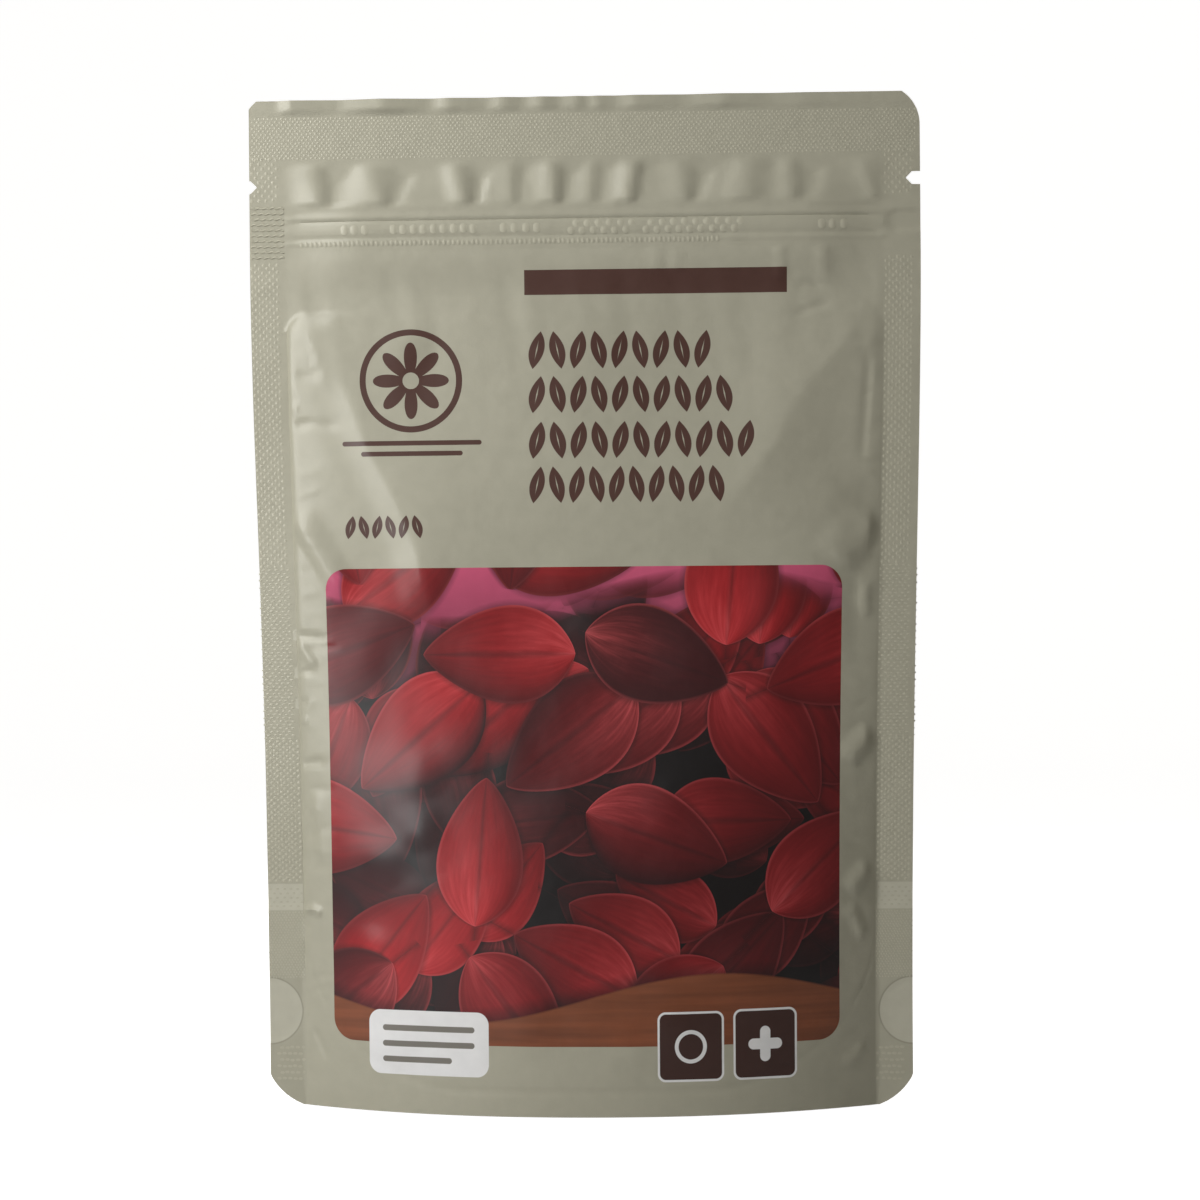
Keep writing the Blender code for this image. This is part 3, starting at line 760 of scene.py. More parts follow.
class Wire:
    """A node's output, which can stand in sums and products like a number."""

    def __init__(self, nodes, socket):
        self.nodes, self.socket = nodes, socket

    def __add__(self, other):
        return self.nodes.math("ADD", self, other)

    def __sub__(self, other):
        return self.nodes.math("SUBTRACT", self, other)

    def __rsub__(self, other):
        return self.nodes.math("SUBTRACT", other, self)

    def __mul__(self, other):
        return self.nodes.math("MULTIPLY", self, other)

    def __truediv__(self, other):
        return self.nodes.math("DIVIDE", self, other)

    def __rtruediv__(self, other):
        return self.nodes.math("DIVIDE", other, self)

    def __pow__(self, other):
        return self.nodes.math("POWER", self, other)

    def __abs__(self):
        return self.nodes.math("ABSOLUTE", self)

    __radd__, __rmul__ = __add__, __mul__

    def clamped(self):
        """The same value, kept between 0 and 1."""
        self.socket.node.use_clamp = True
        return self


class Nodes:
    """Adds nodes to a tree and links them, so that a material reads as a list of steps. A value
    is a number, a tuple or a wire."""

    def __init__(self, tree):
        self.tree = tree

    def feed(self, socket, value):
        if isinstance(value, Wire):
            self.tree.links.new(value.socket, socket)
        elif value is not None:
            socket.default_value = value

    def feed_all(self, node, inputs):
        for key, value in inputs.items():
            self.feed(node.inputs[key], value)

    def wires(self, node):
        """All outputs of a node, by name."""
        return {socket.name: Wire(self, socket) for socket in node.outputs}

    def named(self, kind, inputs, out=0, **settings):
        """A node with its inputs given by name. Gives one output, or all of them for None."""
        node = self.tree.nodes.new(kind)
        for key, value in settings.items():
            setattr(node, key, value)
        self.feed_all(node, inputs)
        return self.wires(node) if out is None else Wire(self, node.outputs[out])

    def add(self, kind, *values, out=0, **settings):
        """A node with its inputs given in order."""
        return self.named(kind, dict(enumerate(values)), out, **settings)

    def math(self, operation, *values):
        return self.add("ShaderNodeMath", *values, operation=operation)

    def vector(self, operation, *values, out=0):
        return self.add("ShaderNodeVectorMath", *values, operation=operation, out=out)

    def scaled(self, vector, factor):
        return self.named("ShaderNodeVectorMath", {0: vector, "Scale": factor}, operation="SCALE")

    def length(self, vector):
        return self.vector("LENGTH", vector, out=1)

    def join(self, *parts):
        """A vector of up to three parts."""
        return self.add("ShaderNodeCombineXYZ", *parts)

    def split(self, vector):
        """The three parts of a vector."""
        return self.add("ShaderNodeSeparateXYZ", vector, out=None).values()

    def mix(self, share, low, high, blend="MIX"):
        """A colour between low and high."""
        node = self.tree.nodes.new("ShaderNodeMix")
        node.data_type, node.blend_type = "RGBA", blend
        for name, value in (("Factor_Float", share), ("A_Color", low), ("B_Color", high)):
            socket = next(i for i in node.inputs if i.identifier == name)
            plain = isinstance(value, tuple) and len(value) == 3
            self.feed(socket, (*value, 1) if plain else value)
        return Wire(self, next(o for o in node.outputs if o.identifier == "Result_Color"))

    def noise(self, place, scale, detail):
        return self.named(
            "ShaderNodeTexNoise", {"Vector": place, "Scale": scale, "Detail": detail})

    def bump(self, strength, distance, height, normal=None):
        return self.named("ShaderNodeBump", {
            "Strength": strength, "Distance": distance, "Height": height, "Normal": normal})

    def group(self, tree, inputs, out=0):
        return self.named("ShaderNodeGroup", inputs, out, node_tree=tree)


SOCKETS = {"value": "NodeSocketFloat", "vector": "NodeSocketVector", "colour": "NodeSocketColor"}
BOX_INPUTS = ("Centre U", "Centre Z", "Half U", "Half Z", "Corner")
ROW_INPUTS = ("Left", "Foot", "Right", "Height", "Pitch")


def shader_group(name, inputs, outputs):
    """An empty group with its sockets. Returns its tree, its node adder and both ends."""
    tree = bpy.data.node_groups.new(name, "ShaderNodeTree")
    for end, sockets in (("INPUT", inputs), ("OUTPUT", outputs)):
        for key, kind in sockets.items():
            tree.interface.new_socket(key, in_out=end, socket_type=SOCKETS[kind])
    nodes = Nodes(tree)
    start = nodes.wires(tree.nodes.new("NodeGroupInput"))
    return tree, nodes, start, tree.nodes.new("NodeGroupOutput").inputs


def shared(name, build):
    """A group that is built once."""
    return bpy.data.node_groups.get(name) or build(name)


def build_rounded_box(name):
    """1 inside a rounded box and 0 outside it. All inputs are in mm."""
    inputs = {"Place": "vector", **dict.fromkeys(BOX_INPUTS, "value")}
    tree, n, start, end = shader_group(name, inputs, {"Mask": "value"})
    centre = n.join(start["Centre U"], start["Centre Z"])
    half = n.join(start["Half U"], start["Half Z"])
    corner = n.join(start["Corner"], start["Corner"])
    offset = n.vector("ABSOLUTE", n.vector("SUBTRACT", start["Place"], centre))
    beyond = n.vector("SUBTRACT", offset, n.vector("SUBTRACT", half, corner))
    gap = n.length(n.vector("MAXIMUM", beyond, (0, 0, 0))) - start["Corner"]
    n.feed(end["Mask"], (gap * -INK_EDGE + 0.5).clamped())
    return tree


def build_leaf_row(name):
    """A garland of upright leaves that lean to and fro in a box. All inputs are in mm."""
    inputs = {"Place": "vector", **dict.fromkeys(ROW_INPUTS, "value")}
    tree, n, start, end = shader_group(name, inputs, {"Mask": "value"})
    pitch = start["Pitch"]
    u, z, _ = n.split(start["Place"])
    along = (u - start["Left"]) / pitch
    number = n.math("FLOOR", along)
    side = n.math("MODULO", number, 2) * 2 - 1
    climb = (z - start["Foot"]) / start["Height"]
    share = climb * 2 - 1
    lean = share * side * 0.2
    offset = abs(n.math("FRACT", along) - 0.5 + lean)
    inset = (1 - share * share) * 0.37 - offset
    leaf = (inset * pitch * INK_EDGE + 0.5).clamped()
    rib_inset = (0.45 - abs(share)) * 0.07 - offset
    rib = (rib_inset * pitch * INK_EDGE + 0.5).clamped()
    count = (start["Right"] - start["Left"]) / pitch
    first = n.math("GREATER_THAN", number, -0.5)
    last = n.math("LESS_THAN", number, count - 0.5)
    in_row = n.math("COMPARE", climb, 0.5, 0.5)
    n.feed(end["Mask"], (leaf * in_row * (first * last) - rib).clamped())
    return tree


def build_roundel(name):
    """A plain eight-petalled rosette in a ring. All inputs are in mm."""
    inputs = {"Place": "vector", "Centre U": "value", "Centre Z": "value", "Radius": "value"}
    tree, n, start, end = shader_group(name, inputs, {"Mask": "value"})
    offset = n.vector("SUBTRACT", start["Place"], n.join(start["Centre U"], start["Centre Z"]))
    u, z, _ = n.split(offset)
    reach = n.length(offset) / start["Radius"]
    wave = abs(n.math("COSINE", n.math("ARCTAN2", z, u) * 4))
    petal = n.math("LESS_THAN", reach, wave * 0.5 + 0.24)
    heart = n.math("LESS_THAN", reach, 0.16)
    ring = n.math("COMPARE", reach, 0.94, 0.06)
    n.feed(end["Mask"], ((petal - heart).clamped() + ring).clamped())
    return tree


def build_petal_layer(name):
    """Cupped petals, scattered one to a cell at every angle. Place and Pitch are in mm."""
    inputs = {"Place": "vector", "Pitch": "value", "Offset": "value",
              "Lit": "colour", "Shaded": "colour", "Rim": "colour"}
    outputs = {"Colour": "colour", "Mask": "value", "Shadow": "value"}
    tree, n, start, end = shader_group(name, inputs, outputs)
    shift = n.join(start["Offset"], start["Offset"])
    cell = n.scaled(n.vector("ADD", start["Place"], shift), 1 / start["Pitch"])
    cells = n.named("ShaderNodeTexVoronoi", {
        "Vector": cell, "Scale": 1, "Randomness": 0.3}, None, voronoi_dimensions="2D")
    draw, draw_length, draw_tone = n.add(
        "ShaderNodeSeparateColor", cells["Color"], out=None).values()
    turned = n.named("ShaderNodeVectorRotate", {
        "Vector": n.vector("SUBTRACT", cell, cells["Position"]), "Angle": draw * (2 * math.tau)},
        rotation_type="Z_AXIS")
    x, y, _ = n.split(turned)
    length = draw_length * 0.08 + 0.38
    along = x / length
    swell = (1 - along * along).clamped() ** 0.72 * (along * 0.22 + 0.78)
    half = swell * length * 0.78
    across_share = y / (half + 0.0001)
    inset = (half - abs(y)) * start["Pitch"]
    n.feed(end["Mask"], (inset * 5 + 0.5).clamped())
    n.feed(end["Shadow"], (inset * 0.55 + 0.75).clamped())
    cup = across_share * 0.42 - (draw_tone * 0.5 - 0.25)
    light = (1 - cup * cup * 2.6).clamped()
    end_shade = (along * 0.32 + 0.62).clamped()
    veins = n.noise(n.join(along * 1.3, across_share * 7, draw), 1.6, 2.0)
    lit = (light * end_shade * (veins * 0.5 + 0.7)).clamped()
    tone = n.math("FRACT", draw_tone * 7.3) ** 1.4 * 0.94 + 0.06
    body = n.mix(lit * tone, start["Shaded"], start["Lit"])
    fold = (1 - abs(across_share) * 9).clamped()
    creased = n.mix(fold * 0.45, body, start["Shaded"])
    rim = (1 - inset * 1.5).clamped()
    edged = n.mix(rim * (lit * 0.75), creased, start["Rim"])
    n.feed(end["Colour"], n.mix(lit**6 * 0.85, edged, start["Rim"]))
    return tree


def build_smooth_marks(name):
    """1 where the seals are pressed smooth: the spot welds and the band over the gusset."""
    inputs = {"Place": "vector", "Half Width": "value"}
    tree, n, start, end = shader_group(name, inputs, {"Mask": "value", "Rim": "value"})
    u, z, _ = n.split(n.vector("ABSOLUTE", start["Place"]))
    off_u = u - start["Half Width"]
    inset = SPOT_RADIUS / MM - n.length(n.join(off_u, z - SPOT_HEIGHT / MM))
    spot = (inset * SMOOTH_EDGE + 0.5).clamped()
    low, high = LAP_HEAD / MM, BAND_HEAD / MM
    band_inset = (high - low) / 2 - abs(z - (low + high) / 2)
    in_band = (band_inset * SMOOTH_EDGE + 0.5).clamped()
    in_seal = ((off_u + BAND_REACH / MM) * SMOOTH_EDGE + 0.5).clamped()
    n.feed(end["Mask"], n.math("MAXIMUM", spot, in_band * in_seal))
    # A thin ring at the edge of each spot weld, which the film takes as painted shade
    n.feed(end["Rim"], (1 - abs(inset + 0.15) * 4).clamped())
    return tree


def build_film_grain(name):
    """Unevenness of a satin laminate: fine orange peel, a broad softness and a mottle."""
    looks = {"Fine": (1.4, 3.0), "Broad": (0.11, 2.0), "Mottle": (0.35, 4.0)}
    tree, n, start, end = shader_group(name, {"Place": "vector"}, dict.fromkeys(looks, "value"))
    for key, (scale, detail) in looks.items():
        n.feed(end[key], n.noise(start["Place"], scale, detail))
    return tree


def new_material(name):
    material = bpy.data.materials.new(name)
    material.use_nodes = True
    nodes = Nodes(material.node_tree)
    return material, nodes, material.node_tree.nodes["Principled BSDF"]


def sheet_place(nodes, s):
    """The place on the sheet in mm, from the film's own UV map."""
    uv = nodes.add("ShaderNodeUVMap", uv_map=UV_NAME)
    size = s.height / MM
    return nodes.vector("MULTIPLY_ADD", uv, (size, size, 0), (-size / 2, 0, 0))


def object_place(nodes):
    return nodes.add("ShaderNodeTexCoord", out="Object")


def smooth_sheen_and_rim_shade(nodes, place, s, colour):
    """Paints light on a film where the sealing tools leave it smooth, as painted sheen, and painted
    shade round the rim of each spot weld's dent.
    """
    marks = nodes.group(shared("smooth marks", build_smooth_marks), {
        "Place": place, "Half Width": s.width / 2 / MM}, out=None)
    # Painted shade: a dark ring round the edge of each spot weld's dent
    dark = nodes.mix(marks["Rim"] * 0.3, colour, (0.1, 0.09, 0.07))
    # Painted sheen: the smooth welds and the band over the gusset are made lighter, as if they
    # caught more light than the embossed seal
    light = nodes.mix(marks["Mask"], (1.0, 1.0, 1.0), (1.22, 1.23, 1.27))
    return nodes.mix(1.0, dark, light, "MULTIPLY")


def finish_film(nodes, shader, place, colour, inked):
    """The satin surface of every film: pearl where it is bare, and flatter where it is inked."""
    grain = nodes.group(shared("film grain", build_film_grain), {"Place": place}, out=None)
    fine = nodes.bump(0.35, 0.04 * MM, grain["Fine"])
    nodes.feed_all(shader, {
        "Base Color": nodes.scaled(colour, grain["Mottle"] * 0.12 + 0.94),
        "Roughness": inked * 0.05 + (grain["Mottle"] * 0.1 + 0.44),
        "Metallic": inked * -PEARL + PEARL,
        "Specular IOR Level": 0.35, "Coat Weight": 0.42, "Coat Roughness": 0.23,
        "Normal": nodes.bump(0.5, 0.5 * MM, grain["Broad"], fine)})


def by_name(keys, values):
    """Numbers for a group's inputs, by name."""
    return dict(zip(keys, map(float, values)))


def draw_mark(nodes, place, tree, inputs, ink, colour, inked):
    """Lays one printed mark over a colour. Returns the colour and how much of it is ink."""
    mask = nodes.group(tree, {"Place": place, **inputs})
    return nodes.mix(mask, colour, tuple(ink)), nodes.math("MAXIMUM", inked, mask)


def draw_marks(nodes, place, boxes, rows, inks, colour, inked):
    """Lays printed boxes and then rows of leaves over a colour."""
    box, leaves = shared("rounded box", build_rounded_box), shared("leaf row", build_leaf_row)
    marks = [(box, by_name(BOX_INPUTS, sizes), getattr(inks, ink)) for *sizes, ink in boxes]
    marks += [(leaves, by_name(ROW_INPUTS, row), inks.brown) for row in rows]
    for tree, inputs, ink in marks:
        colour, inked = draw_mark(nodes, place, tree, inputs, ink, colour, inked)
    return colour, inked


def draw_picture(nodes, place, inks):
    """A plain field of fallen petals in layers, with light behind them and a tan foot."""
    layer = shared("petal layer", build_petal_layer)
    u, z, _ = nodes.split(place)
    glow = nodes.named("ShaderNodeMapRange", {"Value": z, "From Min": 84.0, "From Max": 112.0})
    colour = nodes.mix(glow, tuple(inks.shadow), tuple(inks.pink))
    wave = nodes.math("SINE", u * 0.055)
    thinned = nodes.named("ShaderNodeMapRange", {
        "Value": wave * -5 + z, "From Min": 101.0, "From Max": 107.0, "To Min": 1.0, "To Max": 0.0})
    for pitch, offset, share in PETAL_LAYERS:
        lit = tuple(m + (r - m) * share for m, r in zip(inks.maroon, inks.red))
        shaded = tuple(d + (m - d) * share * 0.6 for d, m in zip(inks.shadow, inks.maroon))
        rim = tuple(l + (p - l) * 0.45 * share for l, p in zip(lit, inks.petal_rim))
        petal = nodes.group(layer, {
            "Place": place, "Pitch": pitch, "Offset": offset, "Lit": (*lit, 1),
            "Shaded": (*shaded, 1), "Rim": (*rim, 1)}, out=None)
        kept = 1.0 if share == PETAL_LAYERS[-1][2] else thinned
        colour = nodes.mix(petal["Shadow"] * 0.6 * kept, colour, tuple(inks.shadow))
        colour = nodes.mix(petal["Mask"] * kept, colour, petal["Colour"])
    foot = wave * 5 + 24 - z
    grain = nodes.noise(nodes.vector("MULTIPLY", place, (0.03, 0.5, 1)), 1.0, 3.0)
    band = nodes.mix(grain, tuple(c * 0.35 for c in inks.tan), tuple(inks.tan))
    shade = (foot * 0.25 + 0.75).clamped()
    colour = nodes.mix(shade * 0.8, colour, tuple(inks.shadow))
    return nodes.mix((foot * 2).clamped(), colour, band)


def front_laminate(s, inks):
    material, n, shader = new_material("front laminate")
    place = sheet_place(n, s)
    in_picture = n.group(shared("rounded box", build_rounded_box), {
        "Place": place, **by_name(BOX_INPUTS, PICTURE)})
    colour = n.mix(in_picture, tuple(inks.taupe), draw_picture(n, place, inks))
    colour, inked = draw_marks(n, place, FRONT_BOXES, FRONT_ROWS, inks, colour, in_picture)
    colour, inked = draw_mark(
        n, place, shared("roundel", build_roundel), ROUNDEL, inks.brown, colour, inked)
    finish_film(n, shader, place, smooth_sheen_and_rim_shade(n, place, s, colour), inked)
    return material


def back_laminate(s, inks):
    material, n, shader = new_material("back laminate")
    place = sheet_place(n, s)
    colour, inked = draw_marks(n, place, BACK_BOXES, BACK_ROWS, inks, tuple(inks.taupe), 0.0)
    finish_film(n, shader, place, smooth_sheen_and_rim_shade(n, place, s, colour), inked)
    return material


def plain_laminate(name, colour):
    """Unprinted film, made once, on Object coordinates in mm."""
    if name in bpy.data.materials:
        return bpy.data.materials[name]
    material, n, shader = new_material(name)
    finish_film(n, shader, n.scaled(object_place(n), 1 / MM), tuple(colour), 0.0)
    return material


def fruit_skin(inks):
    """Wrinkled skin with a light film of oil."""
    material, n, shader = new_material("dried berry skin")
    place = object_place(n)
    mottle = n.noise(place, 420.0, 4.0)
    dark, light = (tuple(c * share for c in inks.fruit) for share in (0.45, 1.5))
    n.feed_all(shader, {
        "Base Color": n.mix(mottle, dark, light), "Roughness": mottle * 0.3 + 0.25,
        "Normal": n.bump(0.6, 0.4 * MM, n.noise(place, 1300.0, 3.0))})
    return material


def zip_plastic():
    """The zip's translucent plastic, shown as pale opaque plastic with fine lines along its length.
    """
    material, n, shader = new_material("zip plastic")
    lines = n.noise(n.vector("MULTIPLY", object_place(n), (40, 4000, 4000)), 1.0, 2.0)
    n.feed_all(shader, {
        "Base Color": n.mix(lines, srgb(206, 206, 200), srgb(226, 226, 221)),
        "Roughness": lines * 0.15 + 0.28, "Normal": n.bump(0.3, 0.05 * MM, lines)})
    return material


class GeometryTree:
    """A Geometry Nodes tree with named inputs."""

    def __init__(self, name, inputs):
        self.tree = bpy.data.node_groups.new(name, "GeometryNodeTree")
        face = self.tree.interface
        face.new_socket("Geometry", in_out="INPUT", socket_type="NodeSocketGeometry")
        for key, kind in inputs.items():
            face.new_socket(key, in_out="INPUT", socket_type=kind)
        face.new_socket("Geometry", in_out="OUTPUT", socket_type="NodeSocketGeometry")
        self.nodes = Nodes(self.tree)
        self.start = self.nodes.wires(self.tree.nodes.new("NodeGroupInput"))
        self.end = self.tree.nodes.new("NodeGroupOutput").inputs

    def sampled(self, film, value, where):
        """A vector of the film at a place of its UV map, and whether the film has that place."""
        sheet = self.nodes.named(
            "GeometryNodeInputNamedAttribute", {"Name": UV_NAME}, data_type="FLOAT_VECTOR")
        found = self.nodes.named("GeometryNodeSampleUVSurface", {
            "Mesh": film, "Value": value, "UV Map": sheet, "Sample UV": where},
            None, data_type="FLOAT_VECTOR")
        return found["Value"], found["Is Valid"]

    def on_film(self, points):
        """Takes the points as places on the flat sheet. Returns those that the film has, where
        they are on it, and which way it faces there."""
        n = self.nodes
        film = n.named("GeometryNodeObjectInfo", {"Object": self.start["Film"]}, out="Geometry")
        place = n.add("GeometryNodeInputPosition")
        where = n.vector("ADD", n.scaled(place, 1 / self.start["Sheet Height"]), (0.5, 0, 0))
        spot, valid = self.sampled(film, place, where)
        facing, _ = self.sampled(film, n.add("GeometryNodeInputNormal"), where)
        missed = n.add("FunctionNodeBooleanMath", valid, operation="NOT")
        kept = n.named("GeometryNodeDeleteGeometry", {"Geometry": points, "Selection": missed})
        return kept, spot, facing

    def moved(self, geometry, **where):
        """The geometry at another Position or with an Offset."""
        return self.nodes.named("GeometryNodeSetPosition", {"Geometry": geometry, **where})

    def instances(self, points, instance, **inputs):
        return self.nodes.named("GeometryNodeInstanceOnPoints", {
            "Points": points, "Instance": instance, **inputs})

    def random(self, low, high):
        """A random vector, from the tree's own seed."""
        return self.nodes.named("FunctionNodeRandomValue", {
            "Min": low, "Max": high, "Seed": self.start["Seed"]}, data_type="FLOAT_VECTOR")

    def finish(self, made, joined):
        """Ends the tree in one plain mesh. With joined, it includes what the object already has."""
        n = self.nodes
        if joined:
            join = self.tree.nodes.new("GeometryNodeJoinGeometry")
            for part in (made, self.start["Geometry"]):
                n.feed(join.inputs[0], part)
            made = Wire(n, join.outputs[0])
        smooth = n.named("GeometryNodeSetShadeSmooth", {"Geometry": made})
        real = n.named("GeometryNodeRealizeInstances", {"Geometry": smooth})
        done = n.named("GeometryNodeSetMaterial", {
            "Geometry": real, "Material": self.start["Material"]})
        n.feed(self.end["Geometry"], done)
        return self.tree


NUMBER, WHOLE, OBJECT, MATERIAL = (
    "NodeSocket" + kind for kind in ("Float", "Int", "Object", "Material"))


def modifier_inputs(obj, tree, values):
    modifier = obj.modifiers.new("pattern", "NODES")
    modifier.node_group = tree
    for item in tree.interface.items_tree:
        if item.item_type == "SOCKET" and item.in_out == "INPUT" and item.name in values:
            modifier[item.identifier] = values[item.name]


def build_dots_tree(name):
    """Low round studs in staggered rows on a patch of the film, found by its UV map."""
    g = GeometryTree(name, {
        "Film": OBJECT, "Sheet Height": NUMBER, "Left": NUMBER, "Foot": NUMBER,
        "Pitch U": NUMBER, "Pitch Z": NUMBER, "Columns": WHOLE, "Rows": WHOLE, "Radius": NUMBER,
        "Rise": NUMBER, "Length": NUMBER, "Seed": WHOLE, "Sides": WHOLE, "Material": MATERIAL})
    n, start = g.nodes, g.start
    wide = start["Pitch U"] * (start["Columns"] - 1)
    tall = start["Pitch Z"] * (start["Rows"] - 1)
    grid = n.named("GeometryNodeMeshGrid", {
        "Size X": wide, "Size Y": tall, "Vertices X": start["Columns"],
        "Vertices Y": start["Rows"]})
    _, y, _ = n.split(n.add("GeometryNodeInputPosition"))
    row = n.math("ROUND", n.math("MULTIPLY_ADD", tall, 0.5, y) / start["Pitch Z"])
    stagger = n.math("MODULO", row, 2) * (start["Pitch U"] * 0.5)
    shift = n.join(
        n.math("MULTIPLY_ADD", wide, 0.5, start["Left"]) + stagger,
        n.math("MULTIPLY_ADD", tall, 0.5, start["Foot"]))
    jitter = g.random((-0.08 * MM, -0.08 * MM, 0), (0.08 * MM, 0.08 * MM, 0))
    kept, spot, facing = g.on_film(g.moved(grid, Offset=n.vector("ADD", shift, jitter)))
    stored = n.named("GeometryNodeStoreNamedAttribute", {
        "Geometry": kept, "Name": "facing", "Value": facing}, data_type="FLOAT_VECTOR")
    facing = n.named(
        "GeometryNodeInputNamedAttribute", {"Name": "facing"}, data_type="FLOAT_VECTOR")
    turn = n.named("FunctionNodeAlignRotationToVector", {"Vector": facing}, axis="Z")
    cone = n.named("GeometryNodeMeshCone", {
        "Vertices": start["Sides"], "Radius Top": 0.4, "Radius Bottom": 1.0, "Depth": 1.3}, None)
    stud = n.named("GeometryNodeSetShadeSmooth", {
        "Geometry": g.moved(cone["Mesh"], Offset=(0, 0, -0.3)), "Selection": cone["Bottom"],
        "Shade Smooth": False}, domain="EDGE")
    size = n.join(start["Radius"], start["Radius"] * start["Length"], start["Rise"])
    studs = g.instances(g.moved(stored, Position=spot), stud, Rotation=turn, Scale=size)
    return g.finish(studs, joined=True)


def build_ribs_tree(name):
    """Fine wavy ribs across a patch of the film, found by its UV map."""
    g = GeometryTree(name, {
        "Film": OBJECT, "Sheet Height": NUMBER, "Left": NUMBER, "Foot": NUMBER, "Width": NUMBER,
        "Pitch": NUMBER, "Count": WHOLE, "Wave": NUMBER, "Wave Length": NUMBER,
        "Radius": NUMBER, "Material": MATERIAL})
    n, start = g.nodes, g.start
    line = n.named("GeometryNodeCurvePrimitiveLine", {"End": n.join(start["Width"])})
    fine = n.named("GeometryNodeResampleCurve", {"Curve": line, "Count": 31})
    rungs = n.named("GeometryNodeMeshLine", {
        "Count": start["Count"], "Start Location": n.join(start["Left"], start["Foot"]),
        "Offset": n.join(0.0, start["Pitch"])}, mode="OFFSET")
    lines = n.named("GeometryNodeRealizeInstances", {"Geometry": g.instances(rungs, fine)})
    x, y, _ = n.split(n.add("GeometryNodeInputPosition"))
    phase = n.math("MULTIPLY_ADD", y, 2600.0, x / start["Wave Length"] * math.tau)
    sway = n.math("SINE", phase) * start["Wave"]
    kept, spot, _ = g.on_film(g.moved(lines, Offset=n.join(0.0, sway)))
    ring = n.named("GeometryNodeCurvePrimitiveCircle", {"Resolution": 5, "Radius": start["Radius"]})
    ribs = n.named("GeometryNodeCurveToMesh", {
        "Curve": g.moved(kept, Position=spot), "Profile Curve": ring, "Fill Caps": True})
    return g.finish(ribs, joined=True)


def build_heap_tree(name):
    """Wrinkled berries packed through the inside of a closed heap."""
    g = GeometryTree(name, {
        "Spacing": NUMBER, "Clearance": NUMBER, "Radius": NUMBER, "Seed": WHOLE,
        "Material": MATERIAL})
    n, start = g.nodes, g.start
    volume = n.named("GeometryNodeMeshToVolume", {
        "Mesh": start["Geometry"], "Voxel Size": 2 * MM}, resolution_mode="VOXEL_SIZE")
    points = n.named("GeometryNodeDistributePointsInVolume", {
        "Volume": volume, "Spacing": n.join(*[start["Spacing"]] * 3)}, mode="DENSITY_GRID")
    moved = g.moved(points, Offset=g.random((-0.9 * MM,) * 3, (0.9 * MM,) * 3))
    near = n.named("GeometryNodeProximity", {"Geometry": start["Geometry"]}, out="Distance")
    close = n.add("FunctionNodeCompare", near, start["Clearance"], operation="LESS_THAN")
    inside = n.named("GeometryNodeDeleteGeometry", {"Geometry": moved, "Selection": close})
    berry = n.named("GeometryNodeMeshIcoSphere", {"Radius": start["Radius"], "Subdivisions": 3})
    wrinkle = n.named("ShaderNodeTexNoise", {"Scale": 320.0, "Detail": 2.0})
    push = n.scaled(n.add("GeometryNodeInputNormal"), (wrinkle - 0.5) * (3.5 * MM))
    berries = g.instances(
        inside, g.moved(berry, Offset=push), Rotation=g.random((0, 0, 0), (math.tau,) * 3),
        Scale=g.random((0.8, 0.7, 0.55), (1.1, 1.0, 0.8)))
    return g.finish(berries, joined=False)


def dots_on(obj, s, film, patch, pitch_u, pitch_z, radius, rise, length, material, seed, sides=6):
    """Adds a patch of studs. The sizes are in mm, and length is a share of the radius."""
    modifier_inputs(obj, shared("embossed dots", build_dots_tree), {
        "Film": film, "Sheet Height": s.height, "Left": patch.u * MM, "Foot": patch.z * MM,
        "Pitch U": pitch_u * MM, "Pitch Z": pitch_z * MM,
        "Columns": max(round(patch.width / pitch_u), 1), "Rows": round(patch.height / pitch_z) + 1,
        "Radius": radius * MM, "Rise": rise * MM, "Length": length, "Seed": seed,
        "Sides": sides, "Material": material})


def ribs_on(obj, s, film, patch, pitch, wave, wave_length, radius, material):
    """Adds a patch of wavy ribs. The sizes are in mm."""
    modifier_inputs(obj, shared("embossed ribs", build_ribs_tree), {
        "Film": film, "Sheet Height": s.height, "Left": patch.u * MM, "Foot": patch.z * MM,
        "Width": patch.width * MM, "Pitch": pitch * MM, "Count": round(patch.height / pitch) + 1,
        "Wave": wave * MM, "Wave Length": wave_length * MM, "Radius": radius * MM,
        "Material": material})


def both_sides(patch):
    """A patch at the right, and its mirror image at the left."""
    return patch, patch._replace(u=-patch.u - patch.width)


def emboss(name, s, film, material):
    """The rollers' marks in the seals and the zip's studs, as one mesh on the film."""
    obj = link(name, bpy.data.meshes.new(name))
    dots_on(obj, s, film, TOP_SEAL_DOTS, 0.95, 0.64, 0.33, 0.05, 1.0, material, 1)
    # Each patch with its pitch across and up, and the dots' radius, rise and length
    for seed, (patch, *sizes) in enumerate((
        (UPPER_DOTS, 1.5, 0.95, 0.42, 0.05, 1.2), (TALL_DOTS, 1.5, 0.78, 0.4, 0.05, 1.3),
        (WOVEN_DOTS, 1.3, 0.72, 0.52, 0.05, 0.52), (LOWER_DOTS, 1.42, 0.62, 0.45, 0.05, 0.9),
        (BAND_DOTS, 1.42, 0.9, 0.4, 0.025, 0.7), (LAP_WEAVE, 0.62, 0.52, 0.24, 0.035, 1.1),
        (FOOT_RIBS, 1.1, 1.3, 0.6, 0.02, 0.6),
    ), 2):
        for side in both_sides(patch):
            dots_on(obj, s, film, side, *sizes, material, seed)
    for start, pitch, count, height, rows in ZIP_OVALS_MM:
        patch = Patch(start, height, pitch * count, 1.55 * (rows - 1))
        dots_on(obj, s, film, patch, pitch, 1.55, 0.88, 0.08, 1.2 / rows**0.4, material, 9, 12)
    dots_on(obj, s, film, ZIP_TICKS, 1.0, 9, 0.4, 0.045, 1.6, material, 10)
    if name.startswith("front"):
        ribs_on(obj, s, film, ZIP_END_RIBS, 1.15, 0.13, 1.5, 0.2, material)
    return baked(obj)


